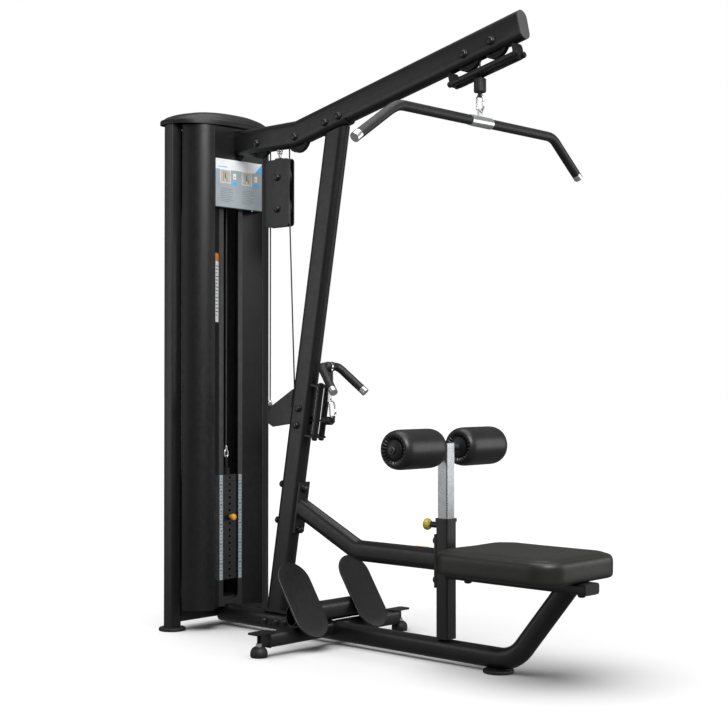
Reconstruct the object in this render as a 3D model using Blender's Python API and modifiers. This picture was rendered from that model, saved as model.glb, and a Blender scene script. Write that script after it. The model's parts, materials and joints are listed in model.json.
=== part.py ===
"""Dual cable machine: a high lat pulldown station and a seated row station share one weight stack.

Metres, +Z up. X runs from the weight tower (-X) to the seat (+X), and the machine is symmetric about Y = 0.
The origin is on the floor, under the centre of the machine.
"""
import math

import bmesh
import bpy
from mathutils import Matrix, Vector

# ---------------------------------------------------------------- driving dimensions
GAP = 0.0003                      # clearance between touching pieces
WALL = 0.003                      # wall of the main tubes
TUBE_WIDTH = 0.050                # every main tube is 50 mm wide
LARGE_TUBE = 0.100                # depth of the mast and the beam tube
SMALL_TUBE = 0.075                # depth of the seat brace and cross tubes
RAIL_TUBE = 0.070                 # depth of the base rail tube

POST_X = -0.844                   # tower posts
POST_Y = 0.227
POST_SIZE = 0.050
POST_TOP = 1.925
DISC_RADIUS = 0.0508
DISC_HEIGHT = 0.012

RAIL_Z = 0.0475                   # centre line of the base rail
RAIL_BEND_X = 0.610
LEG_ANGLE = math.radians(50.7)
SEAT_FOOT_X = 0.544
STABILISER_X = -0.207
STABILISER_Z = 0.055
LEVEL_FOOT_Y = 0.362

MAST_ANGLE = math.radians(10.0)   # the mast leans forward
MAST_FOOT_X = -0.5132             # where the mast's centre line meets the floor
BEAM_Z = 1.866                    # centre line of the beam's level rear part
BEAM_KINK_X = -0.392
BEAM_ANGLE = math.radians(12.43)
BEAM_REAR_X = -0.817
BEAM_FRONT_X = 0.645

CABLE_RADIUS = 0.0028
PULLEY_RADIUS = 0.0555
PULLEY_WIDTH = 0.019
CABLE_RUN = 0.052                 # pulley centre to cable centre
MAST_PULLEY_RADIUS = 0.0440
MAST_CABLE_RUN = 0.0435
AXLE_RADIUS = 0.006
BOLT_HEAD_RADIUS = 0.0125
BOLT_HEAD_HEIGHT = 0.009

STACK_X = -0.795                  # the selector stem's axis
STACK_BOTTOM = 0.178
PLATE_PITCH = 0.0254
PLATE_DEPTH = 0.044
PLATE_WIDTH = 0.360
PLATE_COUNT = 15
LIFTED_COUNT = 6                  # plates above the selector pin, under the top plate
ROD_Y = 0.120
ROD_RADIUS = 0.0095

FLANGE_X = -0.769                 # slotted flange of the front shroud
FLANGE_Y = 0.0603
SLOT_WIDTH = 0.075
RECESS_X = -0.723                 # front edge of the recess
RECESS_Y = 0.1246
SHIELD_BOTTOM = 0.076
PANEL_BOTTOM = 1.616
SLOT_BOTTOM = 0.104
SHEET = 0.0025

BLOCK_X = -0.490                  # floating pulley block
BLOCK_UPPER_Z = 1.7135
BLOCK_LOWER_Z = 1.5945
LAT_DROP_X = 0.470                # where the lat cable leaves the beam
LAT_BAR_Z = 1.803
LAT_STOP_TOP = 1.949
ROW_STOP_X = -0.258               # rear face of the row cable's rubber stop
ROW_EYE = (-0.2095, 0.0, 0.8130)  # the row handle's snap link swings here
LAT_BAR_RADIUS = 0.0165
BAR_CORE = 0.010                  # steel bar inside the rubber grips

SEAT_POST_X = 0.323
SEAT_POST_TOP = 0.4865
SEAT_TUBE_Z = 0.345
BRACE_BEND_X = -0.083
BRACE_ANGLE = math.radians(25.0)
SEAT_RAIL_Z = 0.3062
SEAT_RAIL_HEIGHT = 0.0365
PAD_BOTTOM = 0.3252
PAD_TOP = 0.405
ROLLER_Z = 0.724
ROLLER_RADIUS = 0.066
PULL_PIN_Z = 0.461

PLATE_TILT = math.radians(33.4)   # foot plates lean back from vertical
FOOT_PLATE_Y = 0.155

BLACK = ((0.020, 0.020, 0.021), 0.42, 0.0)
DARK_PLASTIC = ((0.030, 0.030, 0.031), 0.50, 0.0)
RUBBER = ((0.015, 0.015, 0.016), 0.65, 0.0)
CHROME = ((0.60, 0.61, 0.62), 0.18, 1.0)
STEEL = ((0.10, 0.10, 0.11), 0.45, 0.8)
VINYL = ((0.030, 0.031, 0.028), 0.55, 0.0)
YELLOW = ((0.75, 0.42, 0.03), 0.40, 0.0)
CABLE = ((0.22, 0.22, 0.23), 0.40, 0.0)

Y_AXIS = Vector((0, 1, 0))
SIDES = (("left", -1), ("right", 1))


# ---------------------------------------------------------------- scene and materials
for old in list(bpy.data.objects):
    bpy.data.objects.remove(old)
PARTS = bpy.data.collections.new("cable_machine")
CUTTERS = bpy.data.collections.new("cutters")
bpy.context.scene.collection.children.link(PARTS)
bpy.context.scene.collection.children.link(CUTTERS)


def material(name, finish):
    """A Principled material with a colour, a roughness and a metallic value."""
    colour, roughness, metallic = finish
    result = bpy.data.materials.new(name)
    result.use_nodes = True
    shader = result.node_tree.nodes["Principled BSDF"]
    shader.inputs["Base Color"].default_value = (*colour, 1)
    shader.inputs["Roughness"].default_value = roughness
    shader.inputs["Metallic"].default_value = metallic
    return result


# ---------------------------------------------------------------- shapes, as meshes in world space
def clean(mesh):
    """Weld a mesh and turn its faces outwards."""
    bm = bmesh.new()
    bm.from_mesh(mesh)
    bmesh.ops.remove_doubles(bm, verts=bm.verts, dist=0.00001)
    bmesh.ops.recalc_face_normals(bm, faces=bm.faces)
    if bm.calc_volume(signed=True) < 0:
        bmesh.ops.reverse_faces(bm, faces=bm.faces)
    bm.to_mesh(mesh)
    bm.free()
    return mesh


def evaluated(obj):
    """The mesh of an object with its modifiers applied, in world space; the object is removed."""
    graph = bpy.context.evaluated_depsgraph_get()
    graph.update()
    mesh = bpy.data.meshes.new_from_object(obj.evaluated_get(graph))
    mesh.transform(obj.matrix_world)
    bpy.data.objects.remove(obj)
    return clean(mesh)


def placed(mesh, matrix):
    """Move a mesh by a matrix."""
    mesh.transform(matrix)
    return mesh


def holder(name, data):
    """A temporary object in the cutters' collection."""
    obj = bpy.data.objects.new(name, data)
    obj.hide_render = True
    obj.display_type = "WIRE"
    CUTTERS.objects.link(obj)
    return obj


def frame_along(point, direction, side=Y_AXIS):
    """A matrix with +Z along a direction, +Y near a side vector, and its origin at a point."""
    z = Vector(direction).normalized()
    x = Vector(side).cross(z)
    if x.length < 0.001:
        x = Vector((1, 0, 0)).cross(z)
    x.normalize()
    y = z.cross(x)
    return Matrix.Translation(point) @ Matrix((x, y, z)).transposed().to_4x4()


def box(centre, size, bevel=0.0, matrix=None):
    """A box, with rounded edges if a bevel is given."""
    bm = bmesh.new()
    bmesh.ops.create_cube(bm, size=1)
    bmesh.ops.scale(bm, vec=size, verts=bm.verts)
    if bevel:
        bmesh.ops.bevel(bm, geom=bm.edges, offset=bevel, segments=2, affect="EDGES", profile=0.5)
    bmesh.ops.translate(bm, vec=centre, verts=bm.verts)
    mesh = bpy.data.meshes.new("box")
    bm.to_mesh(mesh)
    bm.free()
    return placed(mesh, matrix) if matrix else mesh


def rod(start, end, radius, end_radius=None, segments=16):
    """A cylinder or cone between two points."""
    start = Vector(start)
    axis = Vector(end) - start
    bm = bmesh.new()
    bmesh.ops.create_cone(bm, cap_ends=True, segments=segments, radius1=radius,
                          radius2=radius if end_radius is None else end_radius, depth=axis.length)
    bmesh.ops.translate(bm, vec=(0, 0, axis.length / 2), verts=bm.verts)
    mesh = bpy.data.meshes.new("rod")
    bm.to_mesh(mesh)
    bm.free()
    return placed(mesh, frame_along(start, axis))


def turned(profile, point, direction, steps=24):
    """A closed profile of (radius, height) points turned about an axis with a Screw modifier."""
    mesh = bpy.data.meshes.new("profile")
    count = len(profile)
    closed = profile[0][0] > 0.0001
    edges = [(i, i + 1) for i in range(count - 1)] + ([(count - 1, 0)] if closed else [])
    mesh.from_pydata([(r, 0, z) for r, z in profile], edges, [])
    obj = holder("turned", mesh)
    screw = obj.modifiers.new("Screw", "SCREW")
    screw.steps = steps
    screw.render_steps = steps
    screw.use_merge_vertices = True
    screw.merge_threshold = 0.00001
    return placed(evaluated(obj), frame_along(point, direction))


def outline_plate(points, thickness, matrix, holes=()):
    """A flat outline with holes, made as a filled 2D curve of the given thickness."""
    data = bpy.data.curves.new("outline", "CURVE")
    data.dimensions = "2D"
    data.fill_mode = "BOTH"
    data.extrude = thickness / 2
    for loop in (points, *holes):
        spline = data.splines.new("POLY")
        spline.points.add(len(loop) - 1)
        for target, (a, b) in zip(spline.points, loop):
            target.co = (a, b, 0, 1)
        spline.use_cyclic_u = True
    return placed(evaluated(holder("outline", data)), matrix)


def arc(centre, radius, start, end, steps):
    """Points on an arc, angles in degrees."""
    return [(centre[0] + radius * math.cos(math.radians(start + (end - start) * i / steps)),
             centre[1] + radius * math.sin(math.radians(start + (end - start) * i / steps)))
            for i in range(steps + 1)]


def rounded(width, height, radius, steps=5):
    """A rounded rectangle about the origin."""
    a = width / 2 - radius
    b = height / 2 - radius
    points = []
    for turn, centre in enumerate(((a, b), (-a, b), (-a, -b), (a, -b))):
        points += arc(centre, radius, 90 * turn, 90 * turn + 90, steps)
    return [p for i, p in enumerate(points) if math.dist(p, points[i - 1]) > 0.00001]


def sweep(path, profile):
    """A profile swept along a path, as a curve with a bevel object and filled caps."""
    loop = bpy.data.curves.new("section", "CURVE")
    loop.dimensions = "2D"
    spline = loop.splines.new("POLY")
    spline.points.add(len(profile) - 1)
    for target, (a, b) in zip(spline.points, profile):
        target.co = (a, b, 0, 1)
    spline.use_cyclic_u = True
    section = holder("section", loop)
    data = bpy.data.curves.new("sweep", "CURVE")
    data.dimensions = "3D"
    data.twist_mode = "Z_UP"
    data.bevel_mode = "OBJECT"
    data.bevel_object = section
    data.use_fill_caps = True
    spline = data.splines.new("POLY")
    spline.points.add(len(path) - 1)
    for target, point in zip(spline.points, path):
        target.co = (*point, 1)
    mesh = evaluated(holder("sweep", data))
    bpy.data.objects.remove(section)
    return mesh


def wire(path, radius, resolution=2):
    """A round wire or bar along a path, as a curve with a bevel depth and filled caps."""
    data = bpy.data.curves.new("wire", "CURVE")
    data.dimensions = "3D"
    data.bevel_depth = radius
    data.bevel_resolution = resolution
    data.use_fill_caps = True
    spline = data.splines.new("POLY")
    spline.points.add(len(path) - 1)
    for target, point in zip(spline.points, path):
        target.co = (*point, 1)
    return evaluated(holder("wire", data))


def joined(meshes):
    """Several meshes in one, each still its own solid."""
    bm = bmesh.new()
    for mesh in meshes:
        bm.from_mesh(mesh)
    result = bpy.data.meshes.new("joined")
    bm.to_mesh(result)
    bm.free()
    return result


def combined(mesh, others, operation="DIFFERENCE"):
    """A mesh cut by, or united with, others."""
    obj = holder("target", mesh)
    tools = [holder("cutter", other) for other in others]
    for tool in tools:
        modifier = obj.modifiers.new("Boolean", "BOOLEAN")
        modifier.operation = operation
        modifier.object = tool
    result = evaluated(obj)
    for tool in tools:
        bpy.data.objects.remove(tool)
    return result


def united(meshes):
    """Several overlapping meshes as one solid."""
    return combined(meshes[0], meshes[1:], "UNION")


def extended(path, extra):
    """A path with both ends pushed outwards."""
    first = Vector(path[0])
    last = Vector(path[-1])
    start = first - (Vector(path[1]) - first).normalized() * extra
    end = last + (last - Vector(path[-2])).normalized() * extra
    return [tuple(start), *path[1:-1], tuple(end)]


def tube(path, width, depth, radius, wall=WALL, steps=4, cutters=()):
    """A hollow rounded tube along a path, open at both ends, cut by the cutters."""
    inner = rounded(width - 2 * wall, depth - 2 * wall, max(radius - wall, 0.001), min(steps, 2))
    shell = sweep(path, rounded(width, depth, radius, steps))
    return combined(shell, [sweep(extended(path, 0.02), inner), *cutters])


def part(name, mesh, finish, origin=(0, 0, 0)):
    """A named part whose origin is put on its joint's axis."""
    mesh.name = name
    mesh.materials.clear()
    mesh.materials.append(material(name, finish))
    mesh.transform(Matrix.Translation(-Vector(origin)))
    mesh.shade_smooth()
    mesh.set_sharp_from_angle(angle=math.radians(35))
    obj = bpy.data.objects.new(name, mesh)
    obj.location = origin
    PARTS.objects.link(obj)
    return obj


# ---------------------------------------------------------------- points on the mast and the beam
MAST_UP = Vector((math.sin(MAST_ANGLE), 0, math.cos(MAST_ANGLE)))
MAST_FRONT = Vector((math.cos(MAST_ANGLE), 0, -math.sin(MAST_ANGLE)))
BEAM_UP = Vector((-math.sin(BEAM_ANGLE), 0, math.cos(BEAM_ANGLE)))
BEAM_ALONG = Vector((math.cos(BEAM_ANGLE), 0, math.sin(BEAM_ANGLE)))


def mast_at(z, forward=0.0, side=0.0):
    """A point at height z on the mast's centre line, moved forward and sideways."""
    return Vector((MAST_FOOT_X + z * math.tan(MAST_ANGLE), side, z)) + MAST_FRONT * forward


def beam_at(x, up=0.0, side=0.0):
    """A point on the beam's centre line above x, moved up and sideways."""
    rise = max(0.0, x - BEAM_KINK_X) * math.tan(BEAM_ANGLE)
    return Vector((x, side, BEAM_Z + rise)) + BEAM_UP * up


TOWER_PULLEY = Vector((STACK_X + CABLE_RUN, 0, 1.852))
REAR_PULLEY = Vector((BLOCK_X - CABLE_RUN - CABLE_RUN, 0, 1.852))
MID_PULLEY = Vector((BLOCK_X + CABLE_RUN + CABLE_RUN, 0, 1.852))
FRONT_PULLEY = beam_at(LAT_DROP_X - CABLE_RUN, -0.0135)
GUARD_PULLEY = beam_at(LAT_DROP_X - CABLE_RUN + 0.1135, -0.0135)
MAST_PULLEY = mast_at(0.8465)
ROW_EXIT_Z = MAST_PULLEY.z - MAST_CABLE_RUN
BEAM_AXLES = [TOWER_PULLEY, REAR_PULLEY, MID_PULLEY, FRONT_PULLEY, GUARD_PULLEY]
SADDLE_BOLTS = [beam_at(-0.231, -0.016), beam_at(-0.163, -0.016)]


# ---------------------------------------------------------------- base frame
def build_base():
    """Base rail with its rising leg and side arms, the tower's frame and the feet."""
    leg_top = Vector((RAIL_BEND_X, 0, RAIL_Z)) + Vector((math.cos(LEG_ANGLE), 0, math.sin(LEG_ANGLE))) * 0.36
    bend = 0.120
    centre_x = RAIL_BEND_X - bend * math.tan(LEG_ANGLE / 2)
    steps = 6
    curve = [(centre_x + bend * math.sin(LEG_ANGLE * i / steps), 0,
              RAIL_Z + bend - bend * math.cos(LEG_ANGLE * i / steps)) for i in range(steps + 1)]
    path = [(POST_X + POST_SIZE / 2 + GAP, 0, RAIL_Z), *curve, tuple(leg_top)]
    trim = box((0.8, 0, SEAT_RAIL_Z - SEAT_RAIL_HEIGHT / 2 - GAP + 0.05), (0.3, 0.2, 0.1))
    welded = [tube(path, TUBE_WIDTH, RAIL_TUBE, 0.0248, cutters=[trim])]
    for side in (-1, 1):
        start = side * (TUBE_WIDTH / 2 - 0.0015)
        welded.append(tube([(STABILISER_X, start, STABILISER_Z), (STABILISER_X, side * 0.330, STABILISER_Z)],
                           TUBE_WIDTH, 0.050, 0.012, steps=2))
        welded.append(box((STABILISER_X, side * 0.3315, STABILISER_Z), (0.049, 0.005, 0.049)))
        welded.append(outline_plate(rounded(0.050, 0.092, 0.010, 2), 0.006,
                                    Matrix.Translation((STABILISER_X - 0.003, side * 0.350, 0.0818))))
    for x, z in ((-0.547, 0.046), (-0.484, 0.046), (-0.4375, 0.050)):
        welded += [cap_screw((x, side * TUBE_WIDTH / 2, z), (0, side, 0)) for side in (-1, 1)]
    drain = rod((STABILISER_X, -0.04, STABILISER_Z), (STABILISER_X, 0.04, STABILISER_Z), 0.015)
    part("base_rail", combined(united(welded), [drain]), BLACK)

    welded = []
    for side in (-1, 1):
        welded.append(tube([(POST_X, side * POST_Y, DISC_HEIGHT + GAP), (POST_X, side * POST_Y, POST_TOP)],
                           POST_SIZE, POST_SIZE, 0.008, steps=2))
    end = POST_Y - POST_SIZE / 2 + 0.0015
    for z in (0.0675, BEAM_Z):
        drain = box((POST_X, 0, z - 0.030), (0.020, 0.060, 0.030))
        welded.append(tube([(POST_X, -end, z), (POST_X, end, z)], TUBE_WIDTH, SMALL_TUBE, 0.012, steps=2,
                           cutters=[drain]))
    welded.append(outline_plate([(-0.87, -0.150), (-0.775, -0.150), (-0.775, 0.150), (-0.87, 0.150)], 0.007,
                                Matrix.Translation((0, 0, 0.1078))))
    part("tower_frame", united(welded), BLACK)

    disc = [(0, DISC_HEIGHT), (DISC_RADIUS - 0.003, DISC_HEIGHT), (DISC_RADIUS, DISC_HEIGHT - 0.003),
            (DISC_RADIUS, 0.002),
            (DISC_RADIUS - 0.002, 0), (0, 0)]
    for name, side in SIDES:
        part(f"tower_foot_{name}", turned(disc, (POST_X, side * POST_Y, 0), (0, 0, 1), 24), RUBBER)
    part("seat_foot", turned(disc, (SEAT_FOOT_X, 0, 0), (0, 0, 1), 24), RUBBER)

    dome = [(0, 0.0785), (0.007, 0.0785), (0.007, 0.042), (0.012, 0.042), (0.025, 0.032), (0.0305, 0.014),
            (0.0305, 0.003),
            (0.028, 0), (0, 0)]
    for name, side in SIDES:
        part(f"leveling_foot_{name}", turned(dome, (-0.210, side * LEVEL_FOOT_Y, 0), (0, 0, 1), 16), RUBBER)


def build_footrest():
    """Cross tube on the base rail with two tilted, round-ended foot plates."""
    x = -0.2195
    z = RAIL_Z + RAIL_TUBE / 2 + GAP + SMALL_TUBE / 2
    centre = Vector((-0.2075, 0, 0.1735))
    normal = Vector((math.cos(PLATE_TILT), 0, math.sin(PLATE_TILT)))
    behind = box((0, 0, 0), (0.06, 0.5, 0.4),
                 matrix=Matrix.Translation(centre - normal * (0.004 + GAP - 0.03)) @
                 Matrix.Rotation(-PLATE_TILT, 4, "Y"))
    bar = tube([(x, -0.200, z), (x, 0.200, z)], TUBE_WIDTH, SMALL_TUBE, 0.0248, cutters=[behind])
    part("footrest_crossbar", bar, BLACK)
    outline = rounded(0.150, 0.296, 0.0748, 8)
    for name, side in SIDES:
        spot = centre + Vector((0, side * FOOT_PLATE_Y, 0))
        matrix = Matrix.Translation(spot) @ Matrix.Rotation(-PLATE_TILT, 4, "Y") @ Matrix.Rotation(
            math.pi / 2, 4, "Z") @ Matrix.Rotation(math.pi / 2, 4, "X")
        part(f"foot_plate_{name}", outline_plate(outline, 0.008, matrix), BLACK)


# ---------------------------------------------------------------- mast and beam
def build_mast():
    """Leaning mast tube with its base plate, saddle, gusset and guide brackets."""
    bottom = RAIL_Z + RAIL_TUBE / 2 + GAP
    base_top = bottom + 0.008
    path = [tuple(mast_at(0.03)), tuple(mast_at(1.95))]
    floor_cut = box((-0.5, 0, base_top + GAP - 0.1), (0.5, 0.2, 0.2))
    top_cut = box((0, 0, 0.0), (0.8, 0.3, 0.3),
                  matrix=Matrix.Translation(beam_at(-0.2, -0.0562 + 0.15)) @ Matrix.Rotation(-BEAM_ANGLE, 4,
                      "Y"))
    rear_slot = box((0, 0, 0), (0.03, 0.014, 0.13),
                    matrix=Matrix.Translation(mast_at(0.905, -0.047)) @ Matrix.Rotation(MAST_ANGLE, 4, "Y"))
    front_slot = box((0, 0, 0), (0.03, 0.016, 0.03),
                     matrix=Matrix.Translation(mast_at(ROW_EXIT_Z + 0.008,
                                                       0.047)) @ Matrix.Rotation(MAST_ANGLE, 4, "Y"))
    mast = tube(path, TUBE_WIDTH, LARGE_TUBE, 0.0248, cutters=[floor_cut, top_cut, front_slot])

    plate_centre = (MAST_FOOT_X + bottom * math.tan(MAST_ANGLE) + 0.004, 0, bottom + 0.005)
    base = box(plate_centre, (0.130, 0.0505, 0.010))
    saddle_path = [tuple(beam_at(-0.261, -0.0252)), tuple(beam_at(-0.134, -0.0252))]
    saddle = combined(sweep(saddle_path, rounded(0.0625, 0.0625, 0.030)),
                      [sweep(extended(saddle_path, 0.01), rounded(0.0506, 0.0506, 0.025)),
                       box((0, 0, 0), (0.4, 0.1, 0.08), matrix=Matrix.Translation(beam_at(-0.2, 0.006)) @
                           Matrix.Rotation(-BEAM_ANGLE, 4, "Y"))])
    rear = -0.0490
    gusset = outline_plate([(-0.5534, 0.789), (-0.525, 0.775), tuple(mast_at(0.780, rear).xz),
                            tuple(mast_at(0.918, rear).xz), (-0.5534, 0.842)], 0.008,
                           Matrix.Rotation(math.pi / 2, 4, "X"))
    anchor = [(0, 0.872), (0.005, 0.872), (0.0075, 0.868), (0.0075, 0.835), (0, 0.835)]
    welded = [mast, base, saddle, gusset, turned(anchor, (-0.543, 0, 0), (0, 0, 1), 12)]
    welded += [bolt(MAST_PULLEY), bolt(mast_at(0.7845))]
    welded += [cap_screw(mast_at(z, -0.050), -MAST_FRONT) for z in (0.552, 0.416)]
    part("mast", combined(united(welded), [rear_slot]), BLACK)


def build_beam():
    """Beam tube with its kink, bottom slots for the pulleys, axle holes and end caps."""
    path = [(BEAM_REAR_X, 0, BEAM_Z), (BEAM_KINK_X, 0, BEAM_Z), tuple(beam_at(BEAM_FRONT_X))]
    slots = []
    for centre in BEAM_AXLES:
        angle = BEAM_ANGLE if centre.x > BEAM_KINK_X + 0.05 else 0.0
        slots.append(box((0, 0, 0), (0.112, 0.024, 0.06),
                         matrix=Matrix.Translation(centre - Vector((0, 0, 0.035))) @ Matrix.Rotation(-angle,
                             4, "Y")))
    stop = [(0, 1.8175), (0.009, 1.8175), (0.009, 1.803), (0.005, 1.801), (0.005, 1.7905), (0, 1.7905)]
    welded = [tube(path, TUBE_WIDTH, LARGE_TUBE, 0.0248, cutters=slots),
              turned(stop, (BLOCK_X, 0, 0), (0, 0, 1), 12)]
    welded += [bolt(centre) for centre in (*BEAM_AXLES, *SADDLE_BOLTS)]
    part("top_beam", united(welded), BLACK)

    end = Vector(beam_at(BEAM_FRONT_X))
    cap_path = [tuple(end + BEAM_ALONG * GAP), tuple(end + BEAM_ALONG * 0.004)]
    part("beam_end_cap", sweep(cap_path, rounded(TUBE_WIDTH, LARGE_TUBE, 0.0248)), DARK_PLASTIC)


def head_profile(bottom):
    """A domed screw head that reaches down to a given height."""
    return [(0, BOLT_HEAD_HEIGHT), (0.0095, BOLT_HEAD_HEIGHT - 0.002), (BOLT_HEAD_RADIUS, 0.0025),
            (BOLT_HEAD_RADIUS, bottom),
            (0, bottom)]


def bolt(centre, half=TUBE_WIDTH / 2, radius=AXLE_RADIUS):
    """A through bolt along Y with a domed head at each end."""
    centre = Vector(centre)
    shank = rod(centre - Y_AXIS * half, centre + Y_AXIS * half, radius, segments=10)
    heads = [turned(head_profile(-0.001), centre + Y_AXIS * side * half, (0, side, 0), 12) for side in (-1,
        1)]
    return united([heads[0], shank, heads[1]])


def cap_screw(point, direction):
    """A domed screw head whose foot sinks 1 mm into the face below it."""
    return turned(head_profile(-0.001), point, direction, 12)


# ---------------------------------------------------------------- weight tower
def sheet_loop(points, thickness):
    """A closed outline of constant thickness along a line of plan points."""
    left = []
    right = []
    for i, point in enumerate(points):
        before = Vector(points[max(i - 1, 0)])
        after = Vector(points[min(i + 1, len(points) - 1)])
        along = (after - before).normalized()
        normal = Vector((-along.y, along.x)) * thickness / 2
        left.append(tuple(Vector(point) + normal))
        right.append(tuple(Vector(point) - normal))
    return left + right[::-1]


def shroud_curve(side):
    """Plan line of a front shroud, bulging from the post to the recess edge."""
    start = Vector((-0.806, 0.212))
    end = Vector((RECESS_X, RECESS_Y))
    middle = (start + end) / 2 + Vector((0.034, 0.024))
    points = []
    steps = 8
    for i in range(steps + 1):
        t = i / steps
        spot = start * (1 - t) ** 2 + middle * 2 * t * (1 - t) + end * t * t
        points.append((spot.x, side * spot.y))
    return points


def build_tower():
    """Front shroud with its slotted recess, rear shroud, guide rods and rod bumpers."""
    height = POST_TOP - SHIELD_BOTTOM
    middle = Matrix.Translation((0, 0, SHIELD_BOTTOM + height / 2))
    pieces = [outline_plate(sheet_loop(shroud_curve(side), SHEET), height, middle) for side in (-1, 1)]
    pieces += [rod((RECESS_X, side * RECESS_Y, SHIELD_BOTTOM), (RECESS_X, side * RECESS_Y, POST_TOP), 0.0022,
                   segments=10)
               for side in (-1, 1)]
    line = [(RECESS_X, -RECESS_Y), (FLANGE_X, -FLANGE_Y), (FLANGE_X, FLANGE_Y), (RECESS_X, RECESS_Y)]
    folded = outline_plate(sheet_loop(line, SHEET), PANEL_BOTTOM - SHIELD_BOTTOM,
                           Matrix.Translation((0, 0, (SHIELD_BOTTOM + PANEL_BOTTOM) / 2)))
    upright = Matrix.Rotation(math.pi / 2, 4, "Z") @ Matrix.Rotation(math.pi / 2, 4, "X")
    slot_height = PANEL_BOTTOM + 0.10 - SLOT_BOTTOM
    slot = outline_plate(rounded(SLOT_WIDTH, slot_height, 0.018, 4), 0.02,
                         Matrix.Translation((FLANGE_X, 0, SLOT_BOTTOM + slot_height / 2)) @ upright)
    pieces.append(combined(folded, [slot]))
    panel_height = POST_TOP - PANEL_BOTTOM + 0.002
    panel_z = POST_TOP - panel_height / 2
    pieces.append(box((RECESS_X, 0, panel_z), (SHEET, 2 * RECESS_Y, panel_height)))
    pieces.append(box(((RECESS_X + FLANGE_X) / 2, 0, PANEL_BOTTOM),
                      (RECESS_X - FLANGE_X + SHEET, 2 * FLANGE_Y, SHEET)))
    opening = outline_plate(rounded(0.0515, 0.1015, 0.025), 0.02,
                            Matrix.Translation((RECESS_X, 0, BEAM_Z)) @ upright)
    notch = box((FLANGE_X, 0, SHIELD_BOTTOM), (0.02, 0.054, 0.0145))
    pulley_gap = box((RECESS_X, 0, 1.812), (0.02, 0.024, 0.032))
    part("front_shroud", combined(united(pieces), [opening, notch, pulley_gap]), BLACK)

    rear_points = [(-0.884 - 0.02375 * max(0.0, math.cos(math.radians(a))) ** 0.6,
                    0.196 * math.sin(math.radians(a)))
                   for a in (-90, -75, -60, -40, -20, 0, 20, 40, 60, 75, 90)]
    part("rear_shroud", outline_plate(sheet_loop(rear_points, SHEET), height, middle), BLACK)

    ring = [(ROD_RADIUS + 0.001, 0.065), (0.024, 0.065), (0.026, 0.060), (0.026, 0.004), (0.024, 0),
            (ROD_RADIUS + 0.001, 0)]
    for name, side in SIDES:
        foot = (STACK_X, side * ROD_Y, 0.1113 + GAP)
        part(f"guide_rod_{name}", rod(foot, (STACK_X, side * ROD_Y, 1.920), ROD_RADIUS, segments=12), CHROME)
        part(f"rod_bumper_{name}", turned(ring, foot, (0, 0, 1), 16), RUBBER)
    build_cap()


def build_cap():
    """Domed tower cap: an open shell with a level rim, thickened inwards."""
    half_y = 0.2565
    rear_x = -0.909
    wide_x = -0.873
    front_x = -0.700
    corner = wide_x - rear_x
    outline = arc((wide_x, half_y - corner), corner, 90, 180, 4) + arc((wide_x, corner - half_y), corner, 180,
        270, 4)
    steps = 20
    power = 2 / 2.4
    for i in range(1, steps):
        angle = math.pi * (i / steps - 0.5)
        outline.append((wide_x + (front_x - wide_x) * math.cos(angle) ** power,
                        half_y * math.copysign(abs(math.sin(angle)) ** power, math.sin(angle))))
    count = len(outline)
    centre = Vector(((front_x + rear_x) / 2, 0))
    rings = [(1.0, 1.9275), (1.0, 1.942), (0.985, 1.9455), (0.955, 1.949), (0.90, 1.959), (0.78, 1.971),
             (0.60, 1.981),
             (0.35, 1.987)]
    bm = bmesh.new()
    loops = []
    for scale, z in rings:
        loops.append([bm.verts.new((centre.x + (x - centre.x) * scale, y * scale, z)) for x, y in outline])
    for low, high in zip(loops, loops[1:]):
        for i in range(count):
            j = (i + 1) % count
            bm.faces.new((low[i], low[j], high[j], high[i]))
    bm.faces.new(loops[-1])
    mesh = bpy.data.meshes.new("cap")
    bm.to_mesh(mesh)
    bm.free()
    obj = holder("cap", mesh)
    solid = obj.modifiers.new("Solidify", "SOLIDIFY")
    solid.thickness = 0.003
    solid.offset = -1
    part("tower_cap", evaluated(obj), DARK_PLASTIC)


# ---------------------------------------------------------------- weight stack
def plate_group(first, count):
    """Weight plates on a common core, with rod holes, a stem hole and a pin hole in each plate."""
    turn = Matrix.Rotation(math.pi / 2, 4, "Z")
    bottom = STACK_BOTTOM + first * PLATE_PITCH
    centre = Vector((STACK_X, 0, bottom + count * PLATE_PITCH / 2))
    plates = [outline_plate(rounded(PLATE_WIDTH, PLATE_DEPTH, 0.004, 1), PLATE_PITCH - 0.0010,
                            Matrix.Translation((STACK_X, 0, bottom + (i + 0.5) * PLATE_PITCH)) @ turn)
              for i in range(count)]
    cutters = [rod(centre + Vector((0, side * ROD_Y, -1)), centre + Vector((0, side * ROD_Y, 1)),
                   ROD_RADIUS + 0.001,
                   segments=12) for side in (-1, 1)]
    cutters.append(rod(centre - Vector((0, 0, 1)), centre + Vector((0, 0, 1)), 0.0125, segments=12))
    drills = []
    for i in range(count):
        z = bottom + (i + 0.5) * PLATE_PITCH
        drills.append(rod((STACK_X + 0.005, 0, z), (STACK_X + 0.04, 0, z), 0.0055, segments=8))
    solid = joined(plates)
    if count > 1:
        core = box(centre, (PLATE_DEPTH - 0.004, PLATE_WIDTH - 0.004, count * PLATE_PITCH - 0.0012))
        solid = united([solid, core])
    return combined(solid, [*cutters, joined(drills)])


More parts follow.
